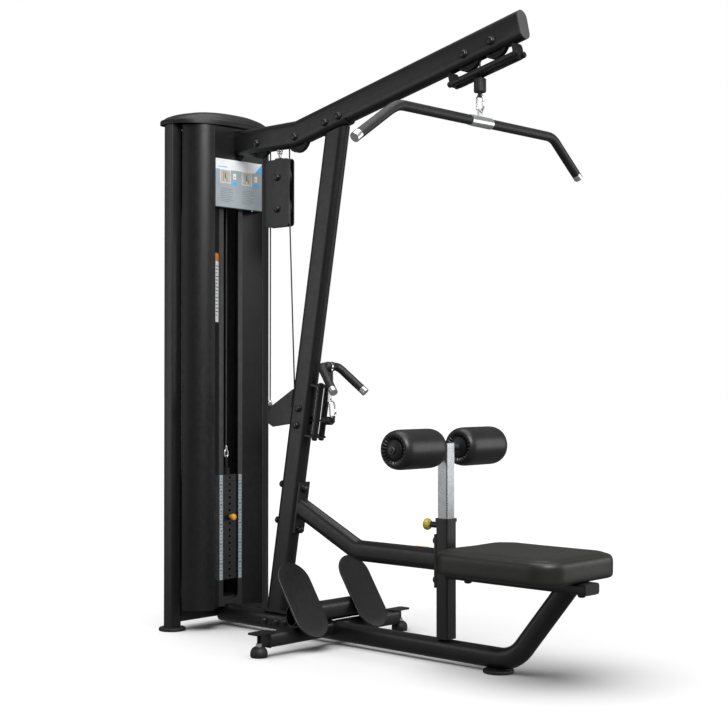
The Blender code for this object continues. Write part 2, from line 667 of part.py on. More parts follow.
def build_stack():
    """Resting plates, lifted plates, top plate, selector stem and selector pin."""
    resting = PLATE_COUNT - LIFTED_COUNT
    part("resting_plates", plate_group(0, resting), STEEL)
    part("lifted_plates", plate_group(resting, LIFTED_COUNT), STEEL)
    part("stack_top_plate", plate_group(PLATE_COUNT, 1), BLACK)

    top = STACK_BOTTOM + (PLATE_COUNT + 1) * PLATE_PITCH
    pin_z = STACK_BOTTOM + (resting + 0.5) * PLATE_PITCH
    stem = [(0, 0.655), (0.004, 0.655), (0.006, 0.650), (0.006, top + 0.028), (0.015, top + 0.024),
            (0.015, top + GAP),
            (0.011, top + GAP), (0.011, pin_z - 0.012), (0, pin_z - 0.012)]
    body = turned(stem, (STACK_X, 0, 0), (0, 0, 1), 12)
    bores = [rod((STACK_X - 0.02, 0, top - (i + 0.5) * PLATE_PITCH),
                 (STACK_X + 0.02, 0, top - (i + 0.5) * PLATE_PITCH),
                 0.0050, segments=8) for i in range(LIFTED_COUNT + 1)]
    part("selector_stem", combined(body, bores), CHROME)

    pin = [(0, 0.030), (0.008, 0.030), (0.0125, 0.027), (0.0135, 0.020), (0.011, 0.008), (0.009, 0.0035),
           (0.0045, 0.0035),
           (0.0045, -0.0330), (0, -0.0330)]
    part("selector_pin", turned(pin, (STACK_X + PLATE_DEPTH / 2, 0, pin_z), (1, 0, 0), 16), YELLOW,
         (STACK_X + PLATE_DEPTH / 2, 0, pin_z))


# ---------------------------------------------------------------- pulleys and cables
def pulley(name, centre, outer=PULLEY_RADIUS, run=CABLE_RUN, width=PULLEY_WIDTH):
    """A grooved pulley on a Y axle."""
    groove = run - CABLE_RADIUS - 0.0010
    half = width / 2
    profile = [(AXLE_RADIUS + 0.0005, half), (outer - 0.001, half), (outer, half - 0.001), (groove, 0.0028),
               (groove, -0.0028), (outer, -half + 0.001), (outer - 0.001, -half),
               (AXLE_RADIUS + 0.0005, -half)]
    part(name, turned(profile, centre, (0, 1, 0), 20), DARK_PLASTIC, tuple(centre))


def build_pulleys():
    """Beam pulleys, mast pulley and the floating block with its two pulleys."""
    for name, centre in zip(("tower_pulley", "rear_pulley", "mid_pulley", "front_pulley", "guard_pulley"),
                            BEAM_AXLES):
        pulley(name, centre)
    pulley("mast_pulley", MAST_PULLEY, MAST_PULLEY_RADIUS, MAST_CABLE_RUN, 0.014)
    upper = Vector((BLOCK_X, 0, BLOCK_UPPER_Z))
    lower = Vector((BLOCK_X, 0, BLOCK_LOWER_Z))
    pulley("block_pulley_upper", upper)
    pulley("block_pulley_lower", lower)

    outline = rounded(0.126, 0.254, 0.014, 3)
    pieces = [outline_plate(outline, 0.004,
                            Matrix.Translation((BLOCK_X, side * 0.0125,
                                                (BLOCK_UPPER_Z + BLOCK_LOWER_Z) / 2)) @
                            Matrix.Rotation(math.pi / 2, 4, "X")) for side in (-1, 1)]
    pieces += [bolt(upper, 0.0145), bolt(lower, 0.0145)]
    pieces.append(box((BLOCK_X, 0, 1.7795), (0.030, 0.0230, 0.013)))
    part("pulley_block", united(pieces), BLACK, tuple(upper))


def around(centre, start, end, radius, steps=8):
    """Cable points round a pulley in the XZ plane, angles in degrees."""
    return [(x, 0, z) for x, z in arc((centre.x, centre.z), radius, start, end, steps)]


def build_cables():
    """The lat cable and the row cable, whole, along their real routes."""
    tilt = math.degrees(BEAM_ANGLE)
    upper = Vector((BLOCK_X, 0, BLOCK_UPPER_Z))
    lower = Vector((BLOCK_X, 0, BLOCK_LOWER_Z))
    lat = [(STACK_X, 0, 0.655 + GAP), *around(TOWER_PULLEY, 180, 90, CABLE_RUN, 6),
           *around(REAR_PULLEY, 90, 0, CABLE_RUN, 6), *around(upper, 180, 360, CABLE_RUN, 10),
           *around(MID_PULLEY, 180, 90 + tilt, CABLE_RUN, 6),
           *around(FRONT_PULLEY, 90 + tilt, 0, CABLE_RUN, 8),
           (LAT_DROP_X, 0, LAT_STOP_TOP + GAP)]
    part("lat_cable", wire(lat, CABLE_RADIUS, 1), CABLE)

    run = Vector((BLOCK_X + CABLE_RUN, 0, BLOCK_LOWER_Z)) - Vector((MAST_PULLEY.x - MAST_CABLE_RUN, 0,
        MAST_PULLEY.z))
    lean = math.degrees(math.atan2(-run.x, run.z))
    row = [(-0.543, 0, 0.872 + GAP), *around(lower, 180, 0 - lean, CABLE_RUN, 10),
           *around(MAST_PULLEY, 180 - lean, 270, MAST_CABLE_RUN, 8), (ROW_STOP_X - GAP, 0, ROW_EXIT_Z)]
    part("row_cable", wire(row, CABLE_RADIUS, 1), CABLE)

# ---------------------------------------------------------------- cable guide rollers
def guide_pair(names, bracket, base, along, length, outward, width):
    """Two parallel guide rollers on shafts that join two bracket plates."""
    pieces = []
    for offset in (-0.0033, length + 0.0033):
        plate = rounded(outward.length * 2 + 0.0232, width, 0.010, 2)
        pieces.append(outline_plate(plate, 0.006, frame_along(base + along * offset + outward, along)))
    for name, side in zip(names, (-1, 1)):
        start = base + Vector((0, side * 0.0175, 0))
        profile = [(0.0040, length - 0.001), (0.0115, length - 0.001), (0.0115, 0.001), (0.0040, 0.001)]
        part(name, turned(profile, start, along, 16), DARK_PLASTIC, tuple(start))
        shaft = [(0, length + 0.018), (0.0090, length + 0.016), (0.0105, length + 0.013),
                 (0.0105, length + 0.005),
                 (0.0034, length + 0.005), (0.0034, -0.005), (0.0105, -0.005), (0.0105, -0.013),
                 (0.0090, -0.016), (0, -0.018)]
        pieces.append(turned(shaft, start, along, 12))
    part(bracket, united(pieces), BLACK)


def build_guides():
    """Cable guides under the beam's front end and on the mast's front."""
    guide_pair(("beam_guide_roller_left", "beam_guide_roller_right"), "beam_guide_bracket",
               beam_at(0.3473, -0.0890), BEAM_ALONG, 0.265, BEAM_UP * 0.0135, 0.052)
    guide_pair(("mast_guide_roller_left", "mast_guide_roller_right"), "mast_guide_bracket",
               mast_at(0.7625, 0.094), MAST_UP, 0.180, -MAST_FRONT * 0.0158, 0.070)


# ---------------------------------------------------------------- lat bar and row handle
def snap_link(name, top, bottom, side, origin):
    """An oval snap link between two points, in the plane that also holds the side vector."""
    top = Vector(top)
    bottom = Vector(bottom)
    length = (top - bottom).length
    loop = [Vector((0, a, b)) for a, b in rounded(0.026, length, 0.0128, 4)]
    matrix = frame_along((top + bottom) / 2, top - bottom, side)
    data = bpy.data.curves.new(name, "CURVE")
    data.dimensions = "3D"
    data.bevel_depth = 0.0032
    data.bevel_resolution = 1
    spline = data.splines.new("POLY")
    spline.points.add(len(loop) - 1)
    for target, point in zip(spline.points, loop):
        target.co = (*point, 1)
    spline.use_cyclic_u = True
    part(name, placed(evaluated(holder(name, data)), matrix), CHROME, origin)


def sleeve(path, radius):
    """A rubber grip with a bore for the bar inside it."""
    return combined(wire(path, radius, 2), [wire(extended(path, 0.01), BAR_CORE + GAP, 1)])


def cored_ends(path, radius, length):
    """The bar inside a grip, with a thicker end piece beyond it."""
    end = Vector(path[-1])
    along = (end - Vector(path[-2])).normalized()
    core = [(path[0][0], path[0][1] * 0.7, path[0][2]), *path[1:-1], tuple(end + along * 0.004)]
    return [wire(core, BAR_CORE, 1), rod(end + along * GAP, end + along * length, radius, segments=16)]


def build_lat_bar():
    """Cable stop, snap link, wide bar with drop ends, chrome clamp and chrome end caps."""
    profile = [(0, LAT_STOP_TOP), (0.0140, LAT_STOP_TOP), (0.0205, LAT_STOP_TOP - 0.005), (0.0205, 1.903),
               (0.0185, 1.9005),
               (0, 1.9005)]
    lug = box((LAT_DROP_X, 0, 1.893), (0.006, 0.016, 0.018))
    stop = united([turned(profile, (LAT_DROP_X, 0, 0), (0, 0, 1), 20), lug])
    lug_eye = rod((LAT_DROP_X - 0.02, 0, 1.8915), (LAT_DROP_X + 0.02, 0, 1.8915), 0.0048, segments=12)
    part("lat_stop", combined(stop, [lug_eye]), RUBBER)
    snap_link("lat_snap_link", (LAT_DROP_X, 0, 1.8925), (LAT_DROP_X, 0, 1.8385), (1, 0, 0),
              (LAT_DROP_X, 0, 1.8925))

    end_x = LAT_DROP_X - 0.013
    half = [(LAT_DROP_X, 0.0545 + GAP, LAT_BAR_Z), (LAT_DROP_X, 0.385, LAT_BAR_Z),
            (LAT_DROP_X - 0.001, 0.405, LAT_BAR_Z - 0.003),
            (LAT_DROP_X - 0.002, 0.425, LAT_BAR_Z - 0.012), (LAT_DROP_X - 0.004, 0.441, LAT_BAR_Z - 0.022),
            (end_x, 0.567, LAT_BAR_Z - 0.110)]
    chrome = []
    for name, side in SIDES:
        path = [(x, side * y, z) for x, y, z in half]
        part(f"lat_grip_{name}", sleeve(path, LAT_BAR_RADIUS), RUBBER, (LAT_DROP_X, 0, LAT_BAR_Z))
        chrome += cored_ends(path, LAT_BAR_RADIUS, 0.024)
    clamp = rod((LAT_DROP_X, -0.0545, LAT_BAR_Z), (LAT_DROP_X, 0.0545, LAT_BAR_Z), 0.0185, segments=20)
    tab = box((LAT_DROP_X, 0, LAT_BAR_Z + 0.0265), (0.008, 0.024, 0.030), bevel=0.001)
    eye = rod((LAT_DROP_X - 0.02, 0, LAT_BAR_Z + 0.034), (LAT_DROP_X + 0.02, 0, LAT_BAR_Z + 0.034), 0.0060,
              segments=12)
    part("lat_bar", combined(united([clamp, tab, *chrome]), [eye]), CHROME, (LAT_DROP_X, 0, LAT_BAR_Z))


def build_row_handle():
    """Row cable stop, snap link and the two-grip handle with chrome ends."""
    stop = [(0, 0.052), (0.005, 0.052), (0.005, 0.044), (0.0135, 0.044), (0.0155, 0.041), (0.0155, 0.003),
            (0.0135, 0), (0, 0)]
    lug = box((-0.2095, 0, 0.809), (0.015, 0.006, 0.024))
    lug_eye = rod((ROW_EYE[0], -0.02, ROW_EYE[2]), (ROW_EYE[0], 0.02, ROW_EYE[2]), 0.0050, segments=12)
    body = combined(united([turned(stop, (ROW_STOP_X, 0, ROW_EXIT_Z), (1, 0, 0), 16), lug]), [lug_eye])
    part("row_stop", body, RUBBER, (ROW_STOP_X, 0, ROW_EXIT_Z))
    snap_link("row_snap_link", (-0.2165, 0, 0.876), (ROW_EYE[0], 0, 0.8140), (0, 1, 0), ROW_EYE)

    top = Vector((-0.226, 0, 1.000))
    chrome = []
    for name, side in SIDES:
        path = [(top.x, side * (0.0145 + GAP), top.z), (top.x, side * 0.034, top.z),
                (top.x + 0.006, side * 0.043, top.z - 0.005),
                (top.x + 0.014, side * 0.049, top.z - 0.013), (top.x + 0.087, side * 0.077, top.z - 0.081)]
        part(f"row_grip_{name}", sleeve(path, 0.0150), RUBBER, ROW_EYE)
        chrome += cored_ends(path, 0.0150, 0.020)
    collar = rod((top.x, -0.0145, top.z), (top.x, 0.0145, top.z), 0.0165, segments=16)
    tab = box((top.x + 0.003, 0, top.z - 0.067), (0.020, 0.008, 0.125), bevel=0.001)
    eye = rod((-0.2165, -0.02, 0.8775), (-0.2165, 0.02, 0.8775), 0.0062, segments=12)
    part("row_handle", combined(united([collar, tab, *chrome]), [eye]), CHROME, ROW_EYE)


# ---------------------------------------------------------------- seat and thigh rollers
def build_seat():
    """Seat brace, seat post, seat rail, seat pad, thigh post with rollers and the pull pin."""
    bend = 0.080
    start_x = -0.40
    start = (start_x, 0, SEAT_TUBE_Z + (BRACE_BEND_X - start_x) * math.tan(BRACE_ANGLE))
    reach = bend * math.tan(BRACE_ANGLE / 2)
    steps = 5
    curve = []
    for i in range(steps + 1):
        angle = BRACE_ANGLE * (1 - i / steps)
        curve.append((BRACE_BEND_X + reach - bend * math.sin(angle), 0,
                      SEAT_TUBE_Z + bend - bend * math.cos(angle)))
    face = SEAT_POST_X - TUBE_WIDTH / 2 - 0.006
    lean = Matrix.Rotation(MAST_ANGLE, 4, "Y")
    cut = box((0, 0, 0), (0.2, 0.2, 0.4), matrix=Matrix.Translation(mast_at(0.49, 0.056 - 0.1)) @ lean)
    brace = tube([start, *curve, (face, 0, SEAT_TUBE_Z)], TUBE_WIDTH, SMALL_TUBE, 0.0248, cutters=[cut])
    flanges = [combined(box((0, 0, 0), (0.008, 0.050, 0.190),
                            matrix=Matrix.Translation(mast_at(0.4905, 0.050 + GAP + 0.004)) @ lean),
                        [rod(mast_at(0.487, 0.03), mast_at(0.487, 0.08), 0.015)]),
               combined(box((SEAT_POST_X - TUBE_WIDTH / 2 - GAP - 0.004, 0, 0.342), (0.008, 0.048, 0.180)),
                        [rod((face - 0.02, 0, SEAT_TUBE_Z), (face + 0.02, 0, SEAT_TUBE_Z), 0.015)])]
    screws = [cap_screw(mast_at(z, 0.058), MAST_FRONT) for z in (0.560, 0.408)]
    screws += [cap_screw((SEAT_POST_X - TUBE_WIDTH / 2 - 0.008, 0, z), (-1, 0, 0)) for z in (0.408, 0.276)]
    part("seat_brace", united([brace, *flanges, *screws]), BLACK)

    rail_top = RAIL_Z + RAIL_TUBE / 2
    pin_hole = rod((SEAT_POST_X - 0.07, 0, PULL_PIN_Z), (SEAT_POST_X, 0, PULL_PIN_Z), 0.0063, segments=12)
    post = tube([(SEAT_POST_X, 0, rail_top + GAP), (SEAT_POST_X, 0, SEAT_POST_TOP - 0.008)], TUBE_WIDTH,
                TUBE_WIDTH, 0.006,
                steps=2)
    collar = combined(outline_plate(rounded(0.056, 0.056, 0.008, 2), 0.0117,
                                    Matrix.Translation((SEAT_POST_X, 0, SEAT_POST_TOP - 0.006))),
                      [box((SEAT_POST_X, 0, SEAT_POST_TOP), (0.0428, 0.0428, 0.05))])
    tip = (SEAT_POST_X - TUBE_WIDTH / 2, 0, PULL_PIN_Z)
    barrel = rod((tip[0] + 0.0015, 0, PULL_PIN_Z), (tip[0] - 0.040, 0, PULL_PIN_Z), 0.0105, segments=12)
    part("seat_post", combined(united([post, collar, barrel]), [pin_hole]), BLACK)

    rail_start = SEAT_POST_X + TUBE_WIDTH / 2 + GAP
    rail = tube([(rail_start, 0, SEAT_RAIL_Z), (0.903, 0, SEAT_RAIL_Z)], SMALL_TUBE, SEAT_RAIL_HEIGHT, 0.010,
                steps=3)
    end_cap = sweep([(0.902, 0, SEAT_RAIL_Z), (0.909, 0, SEAT_RAIL_Z)], rounded(0.0745, 0.036, 0.010, 3))
    screws = [cap_screw((x, 0, SEAT_RAIL_Z - SEAT_RAIL_HEIGHT / 2), (0, 0, -1)) for x in (0.417, 0.869)]
    part("seat_rail", united([rail, end_cap, *screws]), BLACK)

    pad_plan = [(x + 0.647, y) for x, y in rounded(0.498, 0.408, 0.085, 5)]
    bm = bmesh.new()
    mesh = outline_plate(pad_plan, PAD_TOP - PAD_BOTTOM,
                         Matrix.Translation((0, 0, (PAD_TOP + PAD_BOTTOM) / 2)))
    bm.from_mesh(mesh)
    rim = [e for e in bm.edges if all(v.co.z > PAD_TOP - 0.001 for v in e.verts) and e.calc_face_angle(0) > 1]
    bmesh.ops.bevel(bm, geom=rim, offset=0.022, segments=3, affect="EDGES", profile=0.5)
    bm.to_mesh(mesh)
    bm.free()
    part("seat_pad", clean(mesh), VINYL)

    slide = (SEAT_POST_X, 0, ROLLER_Z)
    post_tube = tube([(SEAT_POST_X, 0, 0.330), (SEAT_POST_X, 0, ROLLER_Z + 0.015)], 0.042, 0.042, 0.003,
                     steps=1)
    cross = rod((SEAT_POST_X, -0.276, ROLLER_Z), (SEAT_POST_X, 0.276, ROLLER_Z), 0.0110, segments=12)
    holes = [rod((SEAT_POST_X - 0.05, 0, PULL_PIN_Z + 0.03 * i), (SEAT_POST_X, 0, PULL_PIN_Z + 0.03 * i),
                 0.0060, segments=10)
             for i in range(-2, 5)]
    part("thigh_post", combined(combined(post_tube, [cross], "UNION"), holes), CHROME, slide)
    for name, side in (("left", -1), ("right", 1)):
        foam = [(0.0115, 0.211), (0.044, 0.210), (0.059, 0.200), (ROLLER_RADIUS, 0.182),
                (ROLLER_RADIUS, 0.028),
                (0.059, 0.010), (0.044, 0.001), (0.0115, 0)]
        axis = (0, side, 0)
        centre = (SEAT_POST_X, side * 0.058, ROLLER_Z)
        part(f"thigh_roller_{name}", turned(foam, centre, axis, 20), VINYL, centre)

    knob = [(0, 0.068), (0.010, 0.068), (0.0175, 0.064), (0.0205, 0.058), (0.0190, 0.049), (0.012, 0.0455),
            (0.0055, 0.0455),
            (0.0055, -0.0035), (0, -0.0035)]
    part("pull_pin", turned(knob, tip, (-1, 0, 0), 16), YELLOW, tip)


build_base()
build_footrest()
build_mast()
build_beam()
build_tower()
build_stack()
build_pulleys()
build_cables()
build_guides()
build_lat_bar()
build_row_handle()
build_seat()
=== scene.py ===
"""Looks of a lat pulldown and low row machine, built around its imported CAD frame."""
import math

import bmesh
import bpy
import numpy as np
from mathutils import Matrix, Vector
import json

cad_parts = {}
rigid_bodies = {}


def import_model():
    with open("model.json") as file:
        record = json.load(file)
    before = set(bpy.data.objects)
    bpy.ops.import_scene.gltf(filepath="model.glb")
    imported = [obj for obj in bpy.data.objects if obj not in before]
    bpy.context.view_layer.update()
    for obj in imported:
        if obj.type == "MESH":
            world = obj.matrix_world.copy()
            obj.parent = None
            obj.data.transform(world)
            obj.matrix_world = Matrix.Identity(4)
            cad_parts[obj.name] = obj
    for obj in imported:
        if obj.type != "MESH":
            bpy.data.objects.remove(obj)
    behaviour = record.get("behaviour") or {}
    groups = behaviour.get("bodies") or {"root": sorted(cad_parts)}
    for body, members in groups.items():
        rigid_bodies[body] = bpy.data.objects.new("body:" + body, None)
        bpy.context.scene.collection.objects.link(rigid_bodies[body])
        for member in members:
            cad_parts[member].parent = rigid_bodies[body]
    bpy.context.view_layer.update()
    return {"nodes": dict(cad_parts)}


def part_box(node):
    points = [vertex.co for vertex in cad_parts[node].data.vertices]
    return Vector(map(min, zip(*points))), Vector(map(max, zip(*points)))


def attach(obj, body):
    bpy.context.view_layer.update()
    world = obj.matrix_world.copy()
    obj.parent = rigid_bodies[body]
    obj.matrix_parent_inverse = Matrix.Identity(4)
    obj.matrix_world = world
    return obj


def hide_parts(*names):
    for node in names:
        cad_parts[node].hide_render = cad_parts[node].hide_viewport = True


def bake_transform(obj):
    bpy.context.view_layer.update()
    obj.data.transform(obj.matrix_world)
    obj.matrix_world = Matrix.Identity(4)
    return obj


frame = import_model()
NODES = frame["nodes"]

# ---------------- sizes in metres, as in the CAD source
STACK_X = -0.795
RUN = 0.052                       # pulley centre to cable centre
CABLE_RADIUS = 0.0028
BLOCK_X = -0.490
BLOCK_UPPER_Z = 1.7135
BLOCK_LOWER_Z = 1.5945
MAST_RUN = 0.0435
MAST_ANGLE = math.radians(10.0)
MAST_FOOT_X = -0.5132
BEAM_Z = 1.866
BEAM_KINK_X = -0.392
BEAM_ANGLE = math.radians(12.43)
LAT_X = 0.470
LAT_BAR_Z = 1.803
LAT_STOP_TOP = 1.949
ROW_STOP_X = -0.258
SEAT_POST_X = 0.323
ROLLER_Z = 0.724
PULL_PIN_Z = 0.461
ANCHOR_X = -0.543                 # row cable's fixed end, behind the mast
ROW_GUIDE_X = -0.350              # where the row cable leaves the mast
PLATE_PITCH = 0.0254
STRIP_BOTTOM = 0.178              # lower end of the number strips on the tower
PLACARD_Z = 1.709
PAD_X = 0.647
PAD_HALF = (0.249, 0.204)
PAD_CORNER = 0.085
PAD_Z = (0.3252, 0.405)
ROLLER_LENGTH = 0.211
BOLT_GRIP = 0.0145                # from the block's centre line to the seat of its bolt covers
TUBE_HALF = 0.025                 # half the width of every main tube
Y_AXIS = Vector((0, 1, 0))
SIDES = (("left", -1), ("right", 1))

BEAM_UP = Vector((-math.sin(BEAM_ANGLE), 0, math.cos(BEAM_ANGLE)))
MAST_FRONT = Vector((math.cos(MAST_ANGLE), 0, -math.sin(MAST_ANGLE)))


def mast_at(z, forward=0.0):
    """A point at height z on the mast's centre line, moved forward."""
    return Vector((MAST_FOOT_X + z * math.tan(MAST_ANGLE), 0, z)) + MAST_FRONT * forward


def beam_at(x, up=0.0):
    """A point on the beam's centre line above x, moved up."""
    rise = max(0.0, x - BEAM_KINK_X) * math.tan(BEAM_ANGLE)
    return Vector((x, 0, BEAM_Z + rise)) + BEAM_UP * up


TOWER_PULLEY = Vector((STACK_X + RUN, 0, 1.852))
REAR_PULLEY = Vector((BLOCK_X - 2 * RUN, 0, 1.852))
MID_PULLEY = Vector((BLOCK_X + 2 * RUN, 0, 1.852))
FRONT_PULLEY = beam_at(LAT_X - RUN, -0.0135)
GUARD_PULLEY = beam_at(LAT_X - RUN + 0.1135, -0.0135)
MAST_PULLEY = mast_at(0.8465)
BLOCK_UPPER = Vector((BLOCK_X, 0, BLOCK_UPPER_Z))
BLOCK_LOWER = Vector((BLOCK_X, 0, BLOCK_LOWER_Z))
ROW_EXIT_Z = MAST_PULLEY.z - MAST_RUN


# ---------------- materials
def link(tree, a, b):
    tree.links.new(a, b)


def node(tree, kind, **values):
    """A new node with its named inputs set."""
    n = tree.nodes.new(kind)
    for key, value in values.items():
        n.inputs[key.replace("_", " ")].default_value = value
    return n


def noise(tree, vector, scale, detail=3.0, rough=0.55):
    """A noise texture's value socket."""
    n = node(tree, "ShaderNodeTexNoise", Scale=scale, Detail=detail, Roughness=rough)
    link(tree, vector, n.inputs["Vector"])
    return n.outputs["Fac"]


def cells(tree, vector, scale):
    """A Voronoi texture's distance socket."""
    n = node(tree, "ShaderNodeTexVoronoi", Scale=scale)
    link(tree, vector, n.inputs["Vector"])
    return n.outputs["Distance"]


def ranged(tree, value, low, high, start=0.3, end=0.7):
    """A value mapped from start..end to low..high."""
    n = node(tree, "ShaderNodeMapRange", From_Min=start, From_Max=end, To_Min=low, To_Max=high)
    link(tree, value, n.inputs["Value"])
    return n.outputs["Result"]


def mixed(tree, factor, a, b):
    """A colour between a and b, each a colour or a socket."""
    n = tree.nodes.new("ShaderNodeMix")
    n.data_type = "RGBA"
    link(tree, factor, n.inputs["Factor"])
    for socket, value in ((n.inputs[6], a), (n.inputs[7], b)):
        if isinstance(value, tuple):
            socket.default_value = (*value, 1)
        else:
            link(tree, value, socket)
    return n.outputs[2]


def stretched(tree, vector, scale):
    """Coordinates scaled differently along X, Y and Z."""
    n = node(tree, "ShaderNodeMapping", Scale=scale)
    link(tree, vector, n.inputs["Vector"])
    return n.outputs["Vector"]


def finish(name, colour, tone, rough, metallic=0.0, bumps=(), patch=9.0, dust=0.0, stretch=(1, 1, 1),
           **values):
    """A Principled material: two close colours in soft patches, uneven roughness, and layers of fine bump."""
    mat = bpy.data.materials.new(name)
    mat.use_nodes = True
    tree = mat.node_tree
    bsdf = tree.nodes["Principled BSDF"]
    coords = tree.nodes.new("ShaderNodeTexCoord").outputs["Object"]
    coords = stretched(tree, coords, stretch)
    shade = mixed(tree, ranged(tree, noise(tree, coords, patch, 4.0), 0, 1), colour, tone)
    uneven = ranged(tree, noise(tree, coords, patch * 7, 5.0), rough[0], rough[1])
    if dust:
        normal = tree.nodes.new("ShaderNodeNewGeometry").outputs["Normal"]
        split = tree.nodes.new("ShaderNodeSeparateXYZ")
        link(tree, normal, split.inputs[0])
        speck = ranged(tree, noise(tree, coords, 160, 6.0, 0.7), 0, 1, 0.42, 0.75)
        up = tree.nodes.new("ShaderNodeMath")
        up.operation = "MULTIPLY"
        link(tree, ranged(tree, split.outputs["Z"], 0, dust, 0.55, 1.0), up.inputs[0])
        link(tree, speck, up.inputs[1])
        shade = mixed(tree, up.outputs[0], shade, (0.22, 0.21, 0.19))
    link(tree, shade, bsdf.inputs["Base Color"])
    link(tree, uneven, bsdf.inputs["Roughness"])
    bsdf.inputs["Metallic"].default_value = metallic
    for key, value in values.items():
        bsdf.inputs[key.replace("_", " ")].default_value = value
    last = None
    for kind, scale, distance in bumps:
        source = cells(tree, coords, scale) if kind == "cells" else noise(tree, coords, scale, 4.0)
        bump = node(tree, "ShaderNodeBump", Strength=1.0, Distance=distance)
        link(tree, source, bump.inputs["Height"])
        if last:
            link(tree, last, bump.inputs["Normal"])
        last = bump.outputs["Normal"]
    if last:
        link(tree, last, bsdf.inputs["Normal"])
    return mat


POWDER = finish("powder_coat", (0.0072, 0.0072, 0.0074), (0.0098, 0.0098, 0.0100), (0.32, 0.42), dust=0.01,
                bumps=(("noise", 420, 0.00012), ("noise", 1400, 0.00005)))
SHROUD = finish("shroud_coat", (0.0050, 0.0050, 0.0052), (0.0070, 0.0070, 0.0071), (0.34, 0.44), dust=0.02,
                bumps=(("noise", 520, 0.00010), ("noise", 1600, 0.00006)))
PLASTIC = finish("moulded_plastic", (0.0075, 0.0075, 0.0077), (0.0100, 0.0100, 0.0101), (0.40, 0.50),
                 patch=14,
                 bumps=(("cells", 620, 0.00008), ("noise", 1500, 0.00004)), Specular_IOR_Level=0.38)
CAP_FACE = finish("cap_plastic", (0.058, 0.058, 0.059), (0.070, 0.070, 0.071), (0.42, 0.55), patch=20,
                  bumps=(("cells", 700, 0.00010),))
RUBBER = finish("rubber", (0.0085, 0.0085, 0.0087), (0.0130, 0.0130, 0.0130), (0.48, 0.64), patch=22,
                bumps=(("noise", 300, 0.00022), ("noise", 1700, 0.00010)))
GRIP = finish("grip_rubber", (0.0080, 0.0080, 0.0082), (0.0120, 0.0120, 0.0120), (0.42, 0.56), patch=26,
              bumps=(("cells", 520, 0.00020), ("noise", 1500, 0.00010)))
BLACK_CAP = finish("bolt_cap_plastic", (0.0080, 0.0080, 0.0082), (0.0115, 0.0115, 0.0115), (0.25, 0.38),
                   patch=30,
                   bumps=(("noise", 900, 0.00005),))
CHROME = finish("chrome", (0.74, 0.75, 0.76), (0.64, 0.65, 0.66), (0.16, 0.28), metallic=0.82, patch=18,
                bumps=(("noise", 60, 0.00006), ("noise", 700, 0.00002)))
POST_CHROME = finish("post_chrome", (0.35, 0.36, 0.37), (0.31, 0.32, 0.33), (0.20, 0.30), metallic=0.92,
                     patch=12,
                     bumps=(("noise", 60, 0.00004), ("noise", 700, 0.00002)))
ROD = finish("rod_chrome", (0.42, 0.43, 0.44), (0.30, 0.31, 0.32), (0.16, 0.30), metallic=1.0, patch=18,
             bumps=(("noise", 60, 0.00005),), stretch=(1, 1, 0.08))
PLATES = finish("plate_steel", (0.0085, 0.0085, 0.0088), (0.013, 0.013, 0.0133), (0.36, 0.50), metallic=0.30,
                patch=30,
                bumps=(("noise", 260, 0.00025), ("noise", 1200, 0.00010)))
VINYL = finish("vinyl", (0.0130, 0.0131, 0.0116), (0.0165, 0.0166, 0.0148), (0.38, 0.46), patch=12,
               bumps=(("cells", 520, 0.00012), ("noise", 1300, 0.00006)))
FOAM = finish("roller_vinyl", (0.0115, 0.0115, 0.0115), (0.0145, 0.0145, 0.0144), (0.34, 0.40), patch=16,
              bumps=(("noise", 90, 0.00012), ("cells", 620, 0.00007)))
THREAD = finish("stitch_thread", (0.020, 0.020, 0.020), (0.035, 0.035, 0.034), (0.55, 0.70), patch=60,
                bumps=(("noise", 2500, 0.00010),))
YELLOW = finish("yellow_knob", (0.56, 0.47, 0.030), (0.46, 0.38, 0.020), (0.26, 0.40), patch=40,
                bumps=(("noise", 500, 0.00008),), Coat_Weight=0.2)
AMBER = finish("amber_knob", (0.80, 0.36, 0.025), (0.70, 0.30, 0.018), (0.26, 0.40), patch=40,
               bumps=(("noise", 500, 0.00008),), Coat_Weight=0.2)
CABLE = finish("coated_cable", (0.030, 0.030, 0.031), (0.050, 0.050, 0.052), (0.30, 0.44), patch=40,
               bumps=(("noise", 900, 0.00006),))


def ink(name, colour, tone, rough=(0.35, 0.48), patch=30):
    """A printed label's colour."""
    return finish(name, colour, tone, rough, patch=patch, bumps=(("noise", 300, 0.00005),))


PAPER = ink("label_white", (0.86, 0.88, 0.89), (0.78, 0.80, 0.82))
LABEL_GREY = ink("label_grey", (0.35, 0.40, 0.43), (0.31, 0.36, 0.39))
LABEL_BLUE = ink("label_blue", (0.10, 0.46, 0.80), (0.085, 0.40, 0.72))
LABEL_SAND = ink("label_sand", (0.52, 0.49, 0.42), (0.42, 0.40, 0.35), patch=60)
LABEL_ORANGE = ink("label_orange", (0.80, 0.27, 0.020), (0.72, 0.23, 0.016))
LABEL_INK = ink("label_ink", (0.055, 0.060, 0.065), (0.075, 0.080, 0.085), (0.40, 0.52), 60)
LABEL_STRIP = ink("label_strip", (0.135, 0.140, 0.143), (0.110, 0.114, 0.117), (0.38, 0.50))


# ---------------- mesh helpers
def frame_along(point, direction, side=Y_AXIS):
    """A matrix with +Z along a direction, +Y near a side vector, and its origin at a point."""
    z = Vector(direction).normalized()
    x = Vector(side).cross(z)
    if x.length < 0.001:
        x = Vector((1, 0, 0)).cross(z)
    x.normalize()
    y = z.cross(x)
    return Matrix.Translation(point) @ Matrix((x, y, z)).transposed().to_4x4()


